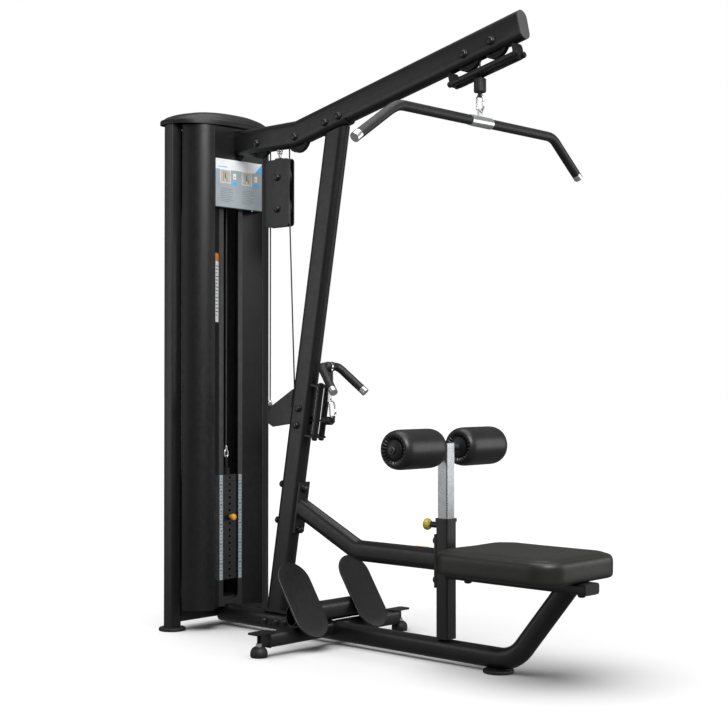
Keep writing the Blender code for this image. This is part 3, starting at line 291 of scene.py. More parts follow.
def grid(rows, closed_rows=False):
    """(points, faces) of a surface through equal closed rings, with end caps unless closed_rows."""
    count = len(rows[0])
    points = [tuple(p) for row in rows for p in row]
    faces = []
    total = len(rows)
    for i in range(total if closed_rows else total - 1):
        j = (i + 1) % total
        for k in range(count):
            m = (k + 1) % count
            faces.append((i * count + k, i * count + m, j * count + m, j * count + k))
    if not closed_rows:
        faces.append(tuple(range(count))[::-1])
        faces.append(tuple((total - 1) * count + k for k in range(count)))
    return points, faces


def merged(shapes):
    """Several (points, faces) pairs as one."""
    points = []
    faces = []
    for p, f in shapes:
        base = len(points)
        points += p
        faces += [tuple(base + i for i in face) for face in f]
    return points, faces


def piece(name, shape, mat, body=None, nodes=(), angle=35.0):
    """A shown mesh piece with outward faces, smooth below an angle, riding on a body."""
    mesh = bpy.data.meshes.new(name)
    mesh.from_pydata(shape[0], [], shape[1])
    bm = bmesh.new()
    bm.from_mesh(mesh)
    bmesh.ops.remove_doubles(bm, verts=bm.verts, dist=0.000001)
    bmesh.ops.recalc_face_normals(bm, faces=bm.faces)
    bm.to_mesh(mesh)
    bm.free()
    mesh.materials.append(mat)
    mesh.shade_smooth()
    mesh.set_sharp_from_angle(angle=math.radians(angle))
    obj = bpy.data.objects.new(name, mesh)
    bpy.context.scene.collection.objects.link(obj)
    if nodes:
        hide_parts(*nodes)
    if body:
        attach(obj, body)
    return obj


def lathe(profile, point, direction, steps=64, ripple=None):
    """(points, faces) of (radius, height) points turned about an axis, solid or with a bore."""
    matrix = frame_along(Vector(point), direction)
    solid = profile[0][0] < 1e-6
    rows = []
    for r, z in profile[1:-1] if solid else profile:
        ring = []
        for k in range(steps):
            a = 2 * math.pi * k / steps
            dr, dz = ripple(r, z, a) if ripple else (0.0, 0.0)
            ring.append(matrix @ Vector(((r + dr) * math.cos(a), (r + dr) * math.sin(a), z + dz)))
        rows.append(ring)
    return grid(rows, closed_rows=not solid)


def fillet(points, radius, steps=4):
    """A polyline with its inner corners rounded, up to the given radius."""
    result = [tuple(points[0])]
    for before, corner, after in zip(points, points[1:], points[2:]):
        c = Vector(corner)
        a = Vector(before) - c
        b = Vector(after) - c
        reach = min(radius, a.length * 0.49, b.length * 0.49)
        p = c + a.normalized() * reach
        q = c + b.normalized() * reach
        for i in range(steps + 1):
            t = i / steps
            result.append(tuple(p * (1 - t) ** 2 + c * 2 * t * (1 - t) + q * t * t))
    result.append(tuple(points[-1]))
    return result


def arc(centre, radius, start, end, steps):
    """Points on an arc, angles in degrees."""
    angles = [math.radians(start + (end - start) * i / steps) for i in range(steps + 1)]
    return [(centre[0] + radius * math.cos(a), centre[1] + radius * math.sin(a)) for a in angles]


def resampled(path, step):
    """Points at an even spacing along a path."""
    points = np.array([tuple(p) for p in path], float)
    lengths = np.r_[0, np.cumsum(np.linalg.norm(np.diff(points, axis=0), axis=1))]
    count = max(2, round(lengths[-1] / step))
    at = np.linspace(0, lengths[-1], count + 1)
    return np.stack([np.interp(at, lengths, points[:, i]) for i in range(3)], 1), at


def swept(path, section, step=0.004, side=Y_AXIS):
    """(points, faces) of a section swept along a path; section(s, total) gives the points at length s."""
    points, at = resampled(path, step)
    rows = []
    for i, point in enumerate(points):
        along = Vector(points[min(i + 1, len(points) - 1)] - points[max(i - 1, 0)])
        matrix = frame_along(Vector(point), along, side)
        rows.append([matrix @ Vector((a, b, 0)) for a, b in section(at[i], at[-1])])
    return grid(rows)


def circle(radius, count=24):
    """A round section."""
    return [(radius * math.cos(2 * math.pi * k / count), radius * math.sin(2 * math.pi * k / count))
            for k in range(count)]


def strand(s, _):
    """The section of a six-strand cable at a length s: lobes that wind once round every 40 mm."""
    result = []
    for k in range(18):
        a = 2 * math.pi * k / 18
        r = CABLE_RADIUS * (0.965 + 0.035 * math.cos(6 * (a - 2 * math.pi * s / 0.040)))
        result.append((r * math.cos(a), r * math.sin(a)))
    return result


def block(centre, size):
    """(points, faces) of a box with its edges taken off."""
    bm = bmesh.new()
    bmesh.ops.create_cube(bm, size=1.0)
    for v in bm.verts:
        v.co = Vector(v.co[i] * size[i] for i in range(3))
    edge = min(size) * 0.18
    bmesh.ops.bevel(bm, geom=list(bm.edges), offset=edge, segments=2, affect="EDGES", profile=0.5)
    points = [tuple(v.co + Vector(centre)) for v in bm.verts]
    faces = [tuple(v.index for v in f.verts) for f in bm.faces]
    bm.free()
    return points, faces


# ---------------- CAD nodes: smoothing and materials
def smoothing_group(limit):
    """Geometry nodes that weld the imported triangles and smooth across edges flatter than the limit."""
    tree = bpy.data.node_groups.new("smooth_by_angle", "GeometryNodeTree")
    for way in ("INPUT", "OUTPUT"):
        tree.interface.new_socket("Geometry", in_out=way, socket_type="NodeSocketGeometry")
    start = tree.nodes.new("NodeGroupInput")
    end = tree.nodes.new("NodeGroupOutput")
    drop = node(tree, "GeometryNodeRemoveAttribute", Name="custom_normal")
    weld = node(tree, "GeometryNodeMergeByDistance", Distance=0.00001)
    angle = tree.nodes.new("GeometryNodeInputMeshEdgeAngle")
    less = tree.nodes.new("FunctionNodeCompare")
    less.data_type = "FLOAT"
    less.operation = "LESS_THAN"
    less.inputs[1].default_value = math.radians(limit)
    edges = tree.nodes.new("GeometryNodeSetShadeSmooth")
    edges.domain = "EDGE"
    faces = tree.nodes.new("GeometryNodeSetShadeSmooth")
    link(tree, start.outputs[0], drop.inputs["Geometry"])
    link(tree, drop.outputs[0], weld.inputs["Geometry"])
    link(tree, angle.outputs["Unsigned Angle"], less.inputs[0])
    link(tree, weld.outputs[0], edges.inputs["Geometry"])
    link(tree, less.outputs[0], edges.inputs["Shade Smooth"])
    link(tree, edges.outputs[0], faces.inputs["Geometry"])
    link(tree, faces.outputs[0], end.inputs[0])
    return tree


def dress_cad():
    """Smooth shading and a detailed material on every CAD node."""
    group = smoothing_group(33.0)
    special = ((SHROUD, ("front_shroud", "rear_shroud")), (ROD, ("guide_rod_left", "guide_rod_right")),
               (PLATES, ("resting_plates", "lifted_plates", "stack_top_plate", "selector_stem")),
               (CHROME, ("lat_bar", "row_handle")), (POST_CHROME, ("thigh_post",)),
               (CAP_FACE, ("beam_end_cap",)),
               (RUBBER, ("rod_bumper_left", "rod_bumper_right", "lat_stop", "row_stop")))
    chosen = {name: mat for mat, names in special for name in names}
    for name, obj in NODES.items():
        obj.data.materials.clear()
        obj.data.materials.append(chosen.get(name, POWDER))
        smooth = obj.modifiers.new("smooth", "NODES")
        smooth.node_group = group
        weight = obj.modifiers.new("weight", "WEIGHTED_NORMAL")
        weight.keep_sharp = True


# ---------------- fasteners
CAP_PROFILE = [(0, 0.0118), (0.0060, 0.0116), (0.0095, 0.0106), (0.0118, 0.0086), (0.0130, 0.0056),
               (0.0132, 0.0024),
               (0.0138, 0.0018), (0.0138, 0.0), (0, 0.0)]
WASHER_PROFILE = [(0, 0.0016), (0.0146, 0.0016), (0.0152, 0.0010), (0.0152, 0.0), (0, 0.0)]


def bolt_cover(point, direction, extra=0.0):
    """A domed plastic cap over a washer, taller by an extra length."""
    profile = [(r, z + extra if z > 0.002 else z) for r, z in CAP_PROFILE]
    return merged([lathe(profile, point, direction, 32), lathe(WASHER_PROFILE, point, direction, 32)])


def across(centre, half):
    """Covers on both ends of a through bolt along Y."""
    return [bolt_cover(Vector(centre) + Y_AXIS * side * half, (0, side, 0)) for side in (-1, 1)]


def build_fasteners():
    """The covers of every visible bolt head."""
    beam = [REAR_PULLEY, MID_PULLEY, FRONT_PULLEY, GUARD_PULLEY, beam_at(-0.231, -0.016),
            beam_at(-0.163, -0.016)]
    shapes = [s for centre in beam for s in across(centre, TUBE_HALF)]
    piece("beam_bolt_covers", merged(shapes), BLACK_CAP, "frame")
    shapes = [s for z in (0.8465, 0.7845) for s in across(mast_at(z), TUBE_HALF)]
    shapes += [bolt_cover(mast_at(z, -0.050), -MAST_FRONT, 0.007) for z in (0.552, 0.416)]
    shapes += [bolt_cover(mast_at(z, 0.058), MAST_FRONT, 0.004) for z in (0.560, 0.408)]
    piece("mast_bolt_covers", merged(shapes), BLACK_CAP, "frame")
    shapes = [s for x, z in ((-0.547, 0.046), (-0.484, 0.046), (-0.4375, 0.050)) for s in across((x, 0, z),
        TUBE_HALF)]
    shapes += [bolt_cover((SEAT_POST_X - 0.033, 0, z), (-1, 0, 0), 0.008) for z in (0.408, 0.276)]
    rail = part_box("seat_rail")[0].z
    under = 0.3062 - 0.0365 / 2
    shapes += [bolt_cover((x, 0, max(under, rail)), (0, 0, -1)) for x in (0.417, 0.869)]
    piece("base_bolt_covers", merged(shapes), BLACK_CAP, "frame")
    shapes = across(BLOCK_UPPER, BOLT_GRIP) + across(BLOCK_LOWER, BOLT_GRIP)
    piece("block_bolt_covers", merged(shapes), BLACK_CAP, "pulley_block")


# ---------------- pulleys
def build_pulleys():
    """Moulded pulleys: hub, dished web, rim and a round-bottomed groove."""
    wide = (0.0555, RUN, 0.019)
    narrow = (0.0440, MAST_RUN, 0.014)
    wheels = {"tower_pulley": TOWER_PULLEY, "rear_pulley": REAR_PULLEY, "mid_pulley": MID_PULLEY,
              "front_pulley": FRONT_PULLEY, "guard_pulley": GUARD_PULLEY, "block_pulley_upper": BLOCK_UPPER,
              "block_pulley_lower": BLOCK_LOWER, "mast_pulley": MAST_PULLEY}
    for name, centre in wheels.items():
        outer, run, width = narrow if name == "mast_pulley" else wide
        half = width / 2
        groove = run - CABLE_RADIUS - 0.0008
        web = half - 0.0035
        face = [(0.0066, half), (0.0150, half), (0.0162, half - 0.0008), (0.0168, web), (outer - 0.0140, web),
                (outer - 0.0132, half - 0.0006), (outer - 0.0122, half), (outer - 0.0012, half),
                (outer, half - 0.0012)]
        channel = [(groove + 0.0030 * (1 - math.cos(a)), 0.0030 * math.sin(a))
                   for a in (1.3, 0.8, 0.4, 0.0, -0.4, -0.8, -1.3)]
        profile = face + channel + [(r, -z) for r, z in face[::-1]]
        piece(f"{name}_wheel", lathe(profile, centre, (0, 1, 0), 64), PLASTIC, name, (name,))


# ---------------- cables
def around(centre, start, end, radius, steps=16):
    """Cable points round a pulley in the XZ plane, angles in degrees."""
    return [(x, 0, z) for x, z in arc((centre.x, centre.z), radius, start, end, steps)]


def build_cables():
    """Both cables in lengths that follow the bodies they run between."""
    tilt = math.degrees(BEAM_ANGLE)
    pulley_z = TOWER_PULLEY.z

    def length(name, path, nodes=()):
        return piece(name, swept(path, strand), CABLE, None, nodes, 60)

    stack = length("lat_cable_stack_run", [(STACK_X, 0, 0.650), (STACK_X, 0, pulley_z)], nodes=("lat_cable",))
    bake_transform(stack)
    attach(length("lat_cable_over_tower", around(TOWER_PULLEY, 180, 90, RUN) + around(REAR_PULLEY, 90, 0,
        RUN)), "frame")
    drop = length("lat_cable_block_loop", [(BLOCK_X - RUN, 0, pulley_z),
                                           *around(BLOCK_UPPER, 180, 360, RUN, 24),
                                           (BLOCK_X + RUN, 0, pulley_z)])
    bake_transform(drop)
    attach(length("lat_cable_in_beam", around(MID_PULLEY, 180, 90 + tilt, RUN) + around(FRONT_PULLEY,
        90 + tilt, 0, RUN)),
            "frame")
    bar = length("lat_cable_bar_run", [(LAT_X, 0, FRONT_PULLEY.z), (LAT_X, 0, LAT_STOP_TOP - 0.001)])
    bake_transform(bar)

    run = Vector((BLOCK_X + RUN, 0, BLOCK_LOWER_Z)) - Vector((MAST_PULLEY.x - MAST_RUN, 0, MAST_PULLEY.z))
    lean = math.degrees(math.atan2(-run.x, run.z))
    join = around(MAST_PULLEY, 180 - lean, 270, MAST_RUN, 14)
    loop = length("row_cable_block_loop", [(ANCHOR_X, 0, 0.870), *around(BLOCK_LOWER, 180, -lean, RUN, 24),
                                           join[0]],
                  nodes=("row_cable",))
    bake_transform(loop)
    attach(length("row_cable_round_mast", join + [(ROW_GUIDE_X, 0, ROW_EXIT_Z)]), "frame")
    pull = length("row_cable_handle_run", [(ROW_GUIDE_X, 0, ROW_EXIT_Z), (ROW_STOP_X + 0.001, 0, ROW_EXIT_Z)])
    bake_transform(pull)


# ---------------- tower cap, feet
def cap_outline(steps=72):
    """Plan outline of the tower cap: square rear corners, full round front."""
    half_y = 0.2565
    rear_x = -0.909
    wide_x = -0.873
    front_x = -0.700
    corner = wide_x - rear_x
    outline = arc((wide_x, half_y - corner), corner, 90, 180, 10) + arc((wide_x, corner - half_y), corner,
        180, 270, 10)
    power = 2 / 2.4
    for i in range(1, steps):
        angle = math.pi * (i / steps - 0.5)
        outline.append((wide_x + (front_x - wide_x) * math.cos(angle) ** power,
                        half_y * math.copysign(abs(math.sin(angle)) ** power, math.sin(angle))))
    return outline, (front_x + rear_x) / 2


def build_cap():
    """Domed cap with a level rim and a soft shoulder."""
    outline, centre = cap_outline()
    outside = fillet([(1.0, 1.9277), (1.0, 1.942), (0.985, 1.9455), (0.955, 1.949), (0.90, 1.959),
                      (0.78, 1.971),
                      (0.60, 1.981), (0.35, 1.987), (0.02, 1.9885)], 0.02, 2)
    inside = [(0.02, 1.985), (0.35, 1.984), (0.60, 1.978), (0.78, 1.968), (0.90, 1.956), (0.955, 1.945),
              (0.982, 1.9425),
              (0.988, 1.9405), (0.988, 1.9277)]
    rows = [[(centre + (x - centre) * scale, y * scale, z) for x, y in outline] for scale,
            z in outside + inside]
    piece("tower_cap_cover", grid(rows, closed_rows=True), PLASTIC, "frame", ("tower_cap",),
          50)


def build_feet():
    """Discs under the tower and the rail, in the rubber finish, and ball levelling feet with nut and stud."""
    disc = fillet([(0.0001, 0.0120), (0.0475, 0.0120), (0.0508, 0.0095), (0.0508, 0.0015), (0.0490, 0),
                   (0.0001, 0)],
                  0.0015, 3)
    disc = [(0, 0.0120), *disc[1:-1], (0, 0)]
    for name, spot in (("tower_foot_left", (-0.844, -0.227, 0)), ("tower_foot_right", (-0.844, 0.227, 0)),
                       ("seat_foot", (0.544, 0, 0))):
        piece(f"{name}_disc", lathe(disc, spot, (0, 0, 1), 72), RUBBER, "frame", (name,))
    ball = [(0, 0.0385),
            *fillet([(0.0100, 0.0382), (0.0200, 0.0345), (0.0272, 0.0265), (0.0303, 0.0170), (0.0303, 0.0060),
                                  (0.0275, 0.0), (0.001, 0.0)], 0.006, 4), (0, 0)]
    collar = [(0, 0.0475), (0.0098, 0.0475), (0.0108, 0.0466), (0.0112, 0.0400), (0.0112, 0.0365),
              (0, 0.0365)]
    stud = [(0, 0.0785), (0.0060, 0.0785)]
    for i in range(20):
        z = 0.0775 - i * 0.0015
        stud += [(0.0068, z), (0.0058, z - 0.0009)]
    stud += [(0.0060, 0.0455), (0, 0.0455)]
    for name, side in SIDES:
        spot = (-0.210, side * 0.362, 0)
        piece(f"leveling_foot_{name}_ball", lathe(ball, spot, (0, 0, 1), 48), RUBBER, "frame",
              (f"leveling_foot_{name}",))
        for part_name, profile, mat in (("collar", collar, CHROME), ("stud", stud, PLATES)):
            piece(f"leveling_foot_{name}_{part_name}", lathe(profile, spot, (0, 0, 1), 32), mat, "frame")


# ---------------- grips, links, knobs
def grip_section(radius, swell=0.0):
    """A grip's section: rolled ends, shallow rings near them and a swell at its start."""
    def section(s, total):
        edge = min(s, total - s)
        r = radius - 0.0014 * max(0.0, 1 - edge / 0.003) ** 2
        r += swell * max(0.0, min(1.0, (0.018 - s) / 0.006))
        if 0.010 < edge < 0.030:
            r -= 0.0004 * (0.5 - 0.5 * math.cos((edge - 0.010) / 0.005 * 2 * math.pi))
        return circle(r, 28)
    return section


def build_handles():
    """Rubber grips and both snap links."""
    for name, side in SIDES:
        half = [(LAT_X, 0.0548, LAT_BAR_Z), (LAT_X, 0.385, LAT_BAR_Z), (0.469, 0.405, LAT_BAR_Z - 0.003),
                (0.468, 0.425, LAT_BAR_Z - 0.012), (0.466, 0.441, LAT_BAR_Z - 0.022),
                (0.457, 0.567, LAT_BAR_Z - 0.110)]
        path = fillet([(x, side * y, z) for x, y, z in half], 0.03, 8)
        piece(f"lat_grip_{name}_rubber", swept(path, grip_section(0.0165), 0.0025, (1, 0, 0)), GRIP,
              "lat_bar",
              (f"lat_grip_{name}",))
        half = [(-0.226, 0.0030, 1.0), (-0.226, 0.034, 1.0), (-0.220, 0.043, 0.995), (-0.212, 0.049, 0.987),
                (-0.139, 0.077, 0.919)]
        path = fillet([(x, side * y, z) for x, y, z in half], 0.012, 8)
        piece(f"row_grip_{name}_rubber", swept(path, grip_section(0.0152, 0.0027), 0.0020, (1, 0, 0)), GRIP,
              "row_handle",
              (f"row_grip_{name}",))
    links = (("lat_snap_link", (LAT_X, 0, 1.8925), (LAT_X, 0, 1.8385), (1, 0, 0), "lat_cable_end"),
             ("row_snap_link", (-0.2165, 0, 0.876), (-0.2095, 0, 0.814), (0, 1, 0), "row_handle"))
    for name, top, bottom, side, body in links:
        top = Vector(top)
        bottom = Vector(bottom)
        matrix = frame_along((top + bottom) / 2, top - bottom, side)
        half_w = 0.013
        half_l = (top - bottom).length / 2
        oval = arc((0, half_l - half_w), half_w, 0, 180, 20) + arc((0, half_w - half_l), half_w, 180, 360, 20)
        rows = []
        for i, (a, b) in enumerate(oval):
            before = Vector((0, *oval[i - 1]))
            after = Vector((0, *oval[(i + 1) % len(oval)]))
            local = frame_along(Vector((0, a, b)), after - before, (1, 0, 0))
            thick = 0.0041 if b < -half_l * 0.45 and a > 0 else 0.0034
            rows.append([matrix @ local @ Vector((u, v, 0)) for u, v in circle(thick, 16)])
        ring = grid(rows, closed_rows=True)
        gate = matrix @ Vector((0, half_w, -half_l * 0.35))
        up = (matrix.to_3x3() @ Vector((0, 0, 1))).normalized()
        nut = [(0, 0.010), (0.0042, 0.010), (0.0048, 0.0092), (0.0048, -0.0092), (0.0042, -0.010),
               (0, -0.010)]
        piece(f"{name}_ring", merged([ring, lathe(nut, gate, up, 6)]), CHROME, body, (name,))


def build_fittings():
    """Chromed stop under the beam, cable anchor on the gusset, cable eye on the selector stem, handle web."""
    stop = [(0, 1.8178), (0.0104, 1.8178), (0.0110, 1.8170), (0.0110, 1.8120), (0.0096, 1.8105),
            (0.0096, 1.8035),
            (0.0060, 1.8010), (0.0060, 1.7900), (0, 1.7900)]
    piece("block_stop_stud", lathe(stop, (BLOCK_X, 0, 0), (0, 0, 1), 32), CHROME, "frame")
    anchor = [(0, 0.8735), (0.0050, 0.8735), (0.0058, 0.8725), (0.0084, 0.8690), (0.0084, 0.8560),
              (0.0078, 0.8550), (0, 0.8550)]
    piece("row_cable_anchor", lathe(anchor, (ANCHOR_X, 0, 0), (0, 0, 1), 32), CHROME, "frame")
    eye = []
    for k in range(40):
        a = 2 * math.pi * k / 40
        spot = Vector((STACK_X, 0.0085 * math.cos(a), 0.6650 + 0.0150 * math.sin(a)))
        ahead = Vector((0, -0.0085 * math.sin(a), 0.0150 * math.cos(a)))
        matrix = frame_along(spot, ahead, (1, 0, 0))
        eye.append([matrix @ Vector((u, v, 0)) for u, v in circle(0.0030, 12)])
    sleeve = [(0, 0.6960), (0.0036, 0.6955), (0.0052, 0.6935), (0.0052, 0.6790), (0.0040, 0.6780),
              (0, 0.6780)]
    piece("stem_cable_eye",
          merged([grid(eye, closed_rows=True), lathe(sleeve, (STACK_X, 0, 0), (0, 0, 1), 24)]), CHROME,
          "lift_carriage")
    web = block((-0.223, 0, 0.9520), (0.0212, 0.0092, 0.0700))
    piece("row_handle_web", web, POWDER, "row_handle")


def foot_plate(centre, tilt, half_y, half_up, corner, thick):
    """(points, faces) of a round-ended plate with rolled edges, leaning back by a tilt."""
    turn = Matrix.Translation(centre) @ Matrix.Rotation(-tilt, 4, "Y")
    edge = thick * 0.45
    rolled = [(edge * (1 - math.sin(a)), thick / 2 - edge * (1 - math.cos(a)))
              for a in (math.pi / 2 * i / 4 for i in range(5))]
    rings = sorted((side * depth, inset) for side in (-1, 1) for inset, depth in rolled)
    rows = []
    for depth, inset in [(-thick / 2, 0.030), *rings, (thick / 2, 0.030)]:
        ring = even_outline(half_up - inset, half_y - inset, max(corner - inset, 0.004), 96)
        rows.append([turn @ Vector((depth, v, u)) for u, v in ring])
    return grid(rows)


def build_foot_plates():
    """Foot plates with rolled edges."""
    for name, side in SIDES:
        shape = foot_plate(Vector((-0.2075, side * 0.155, 0.1735)), math.radians(33.4), 0.075, 0.148, 0.0748,
                           0.008)
        piece(f"foot_plate_{name}_tread", shape, POWDER, "frame",
              (f"foot_plate_{name}",), 50)


def build_knobs():
    """Fluted knobs and chromed shafts of the pull pin and the selector pin."""
    def flutes(depth, count):
        def ripple(r, _, angle):
            return (-depth * (0.5 - 0.5 * math.cos(count * angle)) if r > 0.011 else 0.0), 0.0
        return ripple

    at = (SEAT_POST_X - TUBE_HALF, 0, PULL_PIN_Z)
    knob = [(0, 0.0680),
            *fillet([(0.006, 0.0680), (0.0150, 0.0668), (0.0205, 0.0610), (0.0203, 0.0560), (0.0175, 0.0490),
                                  (0.0125, 0.0455), (0.0060, 0.0455)], 0.004, 3), (0, 0.0455)]
    piece("pull_pin_knob", lathe(knob, at, (-1, 0, 0), 96, flutes(0.0008, 12)), YELLOW, "pull_pin",
          ("pull_pin",))
    shaft = [(0, 0.0465), (0.0054, 0.0465), (0.0054, -0.0020), (0.0046, -0.0034), (0, -0.0034)]
    piece("pull_pin_shaft", lathe(shaft, at, (-1, 0, 0), 32), CHROME, "pull_pin")
    collar = [(0, 0.0455), (0.0085, 0.0455), (0.0092, 0.0448), (0.0092, 0.0405), (0, 0.0405)]
    piece("pull_pin_collar", lathe(collar, at, (-1, 0, 0), 32), CHROME, "pull_pin")
    at = (-0.773, 0, 0.4193)
    knob = [(0, 0.0300),
            *fillet([(0.004, 0.0300), (0.0105, 0.0290), (0.0135, 0.0240), (0.0130, 0.0170), (0.0108, 0.0080),
                                  (0.0090, 0.0036), (0.001, 0.0036)], 0.003, 3), (0, 0.0036)]
    piece("selector_pin_knob", lathe(knob, at, (1, 0, 0), 64, flutes(0.0005, 10)), AMBER, "selector_pin",
          ("selector_pin",))
    shaft = [(0, 0.0042), (0.0044, 0.0042), (0.0044, -0.0310), (0.0030, -0.0329), (0, -0.0329)]
    piece("selector_pin_shaft", lathe(shaft, at, (1, 0, 0), 32), CHROME, "selector_pin")


# ---------------- padded pieces
def build_rollers():
    """Thigh rollers: vinyl over foam, gathered into pleats round a domed washer at each end."""
    pleats = 24

    def gather(r, z, angle):
        end = min(z, ROLLER_LENGTH - z)
        if end > 0.020 or r < 0.028:
            return 0.0, 0.0
        share = max(0.0, min(1.0, (0.0530 - r) / 0.010)) * max(0.0, min(1.0, (r - 0.028) / 0.004))
        wave = 1 - abs(math.sin(pleats * angle / 2))
        inward = 1 if z > 0.1 else -1
        return 0.0, -inward * 0.0068 * share * wave ** 0.8

    half = [(0.0115, 0.1985), (0.0300, 0.1985), (0.0330, 0.1995), (0.0360, 0.2035), (0.0390, 0.2065),
            (0.0425, 0.2085),
            (0.0460, 0.2098), (0.0495, 0.2100), (0.0530, 0.2090), (0.0565, 0.2062), (0.0600, 0.2015),
            (0.0628, 0.1950),
            (0.0647, 0.1870), (0.0657, 0.1780), (0.0660, 0.1680)]
    middle = [(0.0660, z / 1000) for z in range(160, 50, -8)]
    profile = half + middle + [(r, ROLLER_LENGTH - z) for r, z in half[::-1]]
    hub = [(0, 0.2118),
           *fillet([(0.006, 0.2117), (0.0240, 0.2095), (0.0345, 0.2045), (0.0352, 0.2000), (0.0340, 0.1982),
                                 (0.0115, 0.1982)], 0.003, 3), (0, 0.1982)]
    nut = [(0, 0.2202),
           *fillet([(0.0040, 0.2200), (0.0105, 0.2184), (0.0132, 0.2150), (0.0136, 0.2100), (0.001, 0.2100)],
                                0.002, 3), (0, 0.2100)]
    inner = [(0.0116, 0.0012), (0.0250, 0.0016), (0.0345, 0.0060), (0.0350, 0.0110), (0.0330, 0.0128),
             (0.0116, 0.0128)]
    for name, side in SIDES:
        centre = (SEAT_POST_X, side * 0.058, ROLLER_Z)
        axis = (0, side, 0)
        body = f"thigh_roller_{name}"
        foam = piece(f"{body}_cover", lathe(profile, centre, axis, 192, gather), FOAM, body,
                     (body,), 60)
        piece(f"{body}_hub", merged([lathe(hub, centre, axis, 64), lathe(inner, centre, axis, 64)]), PLASTIC,
              body)
        piece(f"{body}_nut", lathe(nut, centre, axis, 48), BLACK_CAP, "thigh_post")


def plan_point(angle, half_x, half_y, corner):
    """A point on a rounded rectangle's outline, in the direction of an angle."""
    d = Vector((math.cos(angle), math.sin(angle)))
    low, high = 0.0, 1.0
    for _ in range(30):
        t = (low + high) / 2
        q = Vector((max(abs(d.x * t) - half_x + corner, 0), max(abs(d.y * t) - half_y + corner, 0)))
        if q.length > corner:
            high = t
        else:
            low = t
    return d * low


def even_outline(half_x, half_y, corner, count):
    """Points evenly spaced round a rounded rectangle."""
    dense = [plan_point(2 * math.pi * i / 1440, half_x, half_y, corner) for i in range(1441)]
    points, _ = resampled([(p.x, p.y, 0) for p in dense], sum((a - b).length for a,
                                                              b in zip(dense, dense[1:])) / count)
    return [(p[0], p[1]) for p in points[:count]]


def values_of(mesh, field="co"):
    """An array of a mesh's points or point normals."""
    result = np.zeros(len(mesh.vertices) * 3)
    mesh.vertices.foreach_get(field, result)
    return result.reshape(-1, 3)


def apply_modifiers(obj):
    """Makes an object's mesh what its modifiers show."""
    shape = bpy.data.meshes.new_from_object(obj.evaluated_get(bpy.context.evaluated_depsgraph_get()))
    obj.modifiers.clear()
    obj.data = shape


def inflate(obj, cap, hold_below):
    """Swells a pad as cloth under pressure, its board side held, then caps and evens the swell."""
    scene = bpy.context.scene
    last_frame = 20
    evening_rounds = 24
    rest = values_of(obj.data)
    held = obj.vertex_groups.new(name="board")
    held.add([int(i) for i in np.flatnonzero(rest[:, 2] < hold_below)], 1.0, "REPLACE")
    cloth = obj.modifiers.new("cloth", "CLOTH")
    cloth.settings.quality = 5
    cloth.settings.use_pressure = True
    cloth.settings.uniform_pressure_force = 4.0
    cloth.settings.vertex_group_mass = "board"
    cloth.settings.effector_weights.gravity = 0.0
    cloth.settings.tension_stiffness = 20.0
    cloth.settings.bending_stiffness = 2.0
    cloth.point_cache.frame_start = 1
    cloth.point_cache.frame_end = last_frame
    for step in range(1, last_frame + 1):
        scene.frame_set(step)
    swollen = obj.evaluated_get(bpy.context.evaluated_depsgraph_get()).to_mesh()
    normals = values_of(obj.data, "normal")
    swell = np.clip(((values_of(swollen) - rest) * normals).sum(1), 0.0, cap)
    swell[rest[:, 2] < hold_below] = 0.0
    pairs = np.zeros(len(obj.data.edges) * 2, np.int64)
    obj.data.edges.foreach_get("vertices", pairs)
    pairs = pairs.reshape(-1, 2)
    degree = np.bincount(pairs.ravel(), minlength=len(rest))
    for _ in range(evening_rounds):
        total = np.bincount(pairs[:, 0], swell[pairs[:, 1]], len(rest))
        total += np.bincount(pairs[:, 1], swell[pairs[:, 0]], len(rest))
        swell = 0.5 * swell + 0.5 * total / np.maximum(degree, 1)
    obj.modifiers.clear()
    obj.data.vertices.foreach_set("co", (rest + normals * swell[:, None]).ravel())
    scene.frame_set(1)


def build_seat_pad():
    """Seat pad: crowned vinyl over foam, a rolled top edge with a stitched seam, and upright sides."""
    bottom, top = PAD_Z
    slack = 0.004
    profile = [(0.012, bottom), (0.004, bottom + 0.002), (0.0005, bottom + 0.008), (0.0, bottom + 0.018),
               (0.0, top - 0.024),
               (0.0012, top - 0.015), (0.0055, top - 0.0075), (0.0130, top - 0.0035), (0.024, top - 0.0020),
               (0.045, top - 0.0010), (0.090, top), (0.150, top)]
    count = 180
    rows = []
    for inset, z in profile:
        corner = max(PAD_CORNER - inset, 0.012)
        ring = even_outline(PAD_HALF[0] - slack - inset, PAD_HALF[1] - slack - inset, corner, count)
        rows.append([(PAD_X + x, y, z - slack * (z - bottom) / (top - bottom)) for x, y in ring])
    mesh = piece("seat_cushion", grid(rows), VINYL, None, ("seat_pad",), 60)
    remesh = mesh.modifiers.new("remesh", "REMESH")
    remesh.mode = "VOXEL"
    remesh.voxel_size = 0.0055
    remesh.use_smooth_shade = True
    apply_modifiers(mesh)
    inflate(mesh, 0.006, bottom + 0.010)
    seam(mesh, bottom, top)
    finer = mesh.modifiers.new("finer", "SUBSURF")
    finer.levels = 1
    finer.render_levels = 1
    apply_modifiers(mesh)
    mesh.data.materials.clear()
    mesh.data.materials.append(VINYL)
    mesh.data.shade_smooth()
    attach(mesh, "frame")
    build_stitches(mesh)


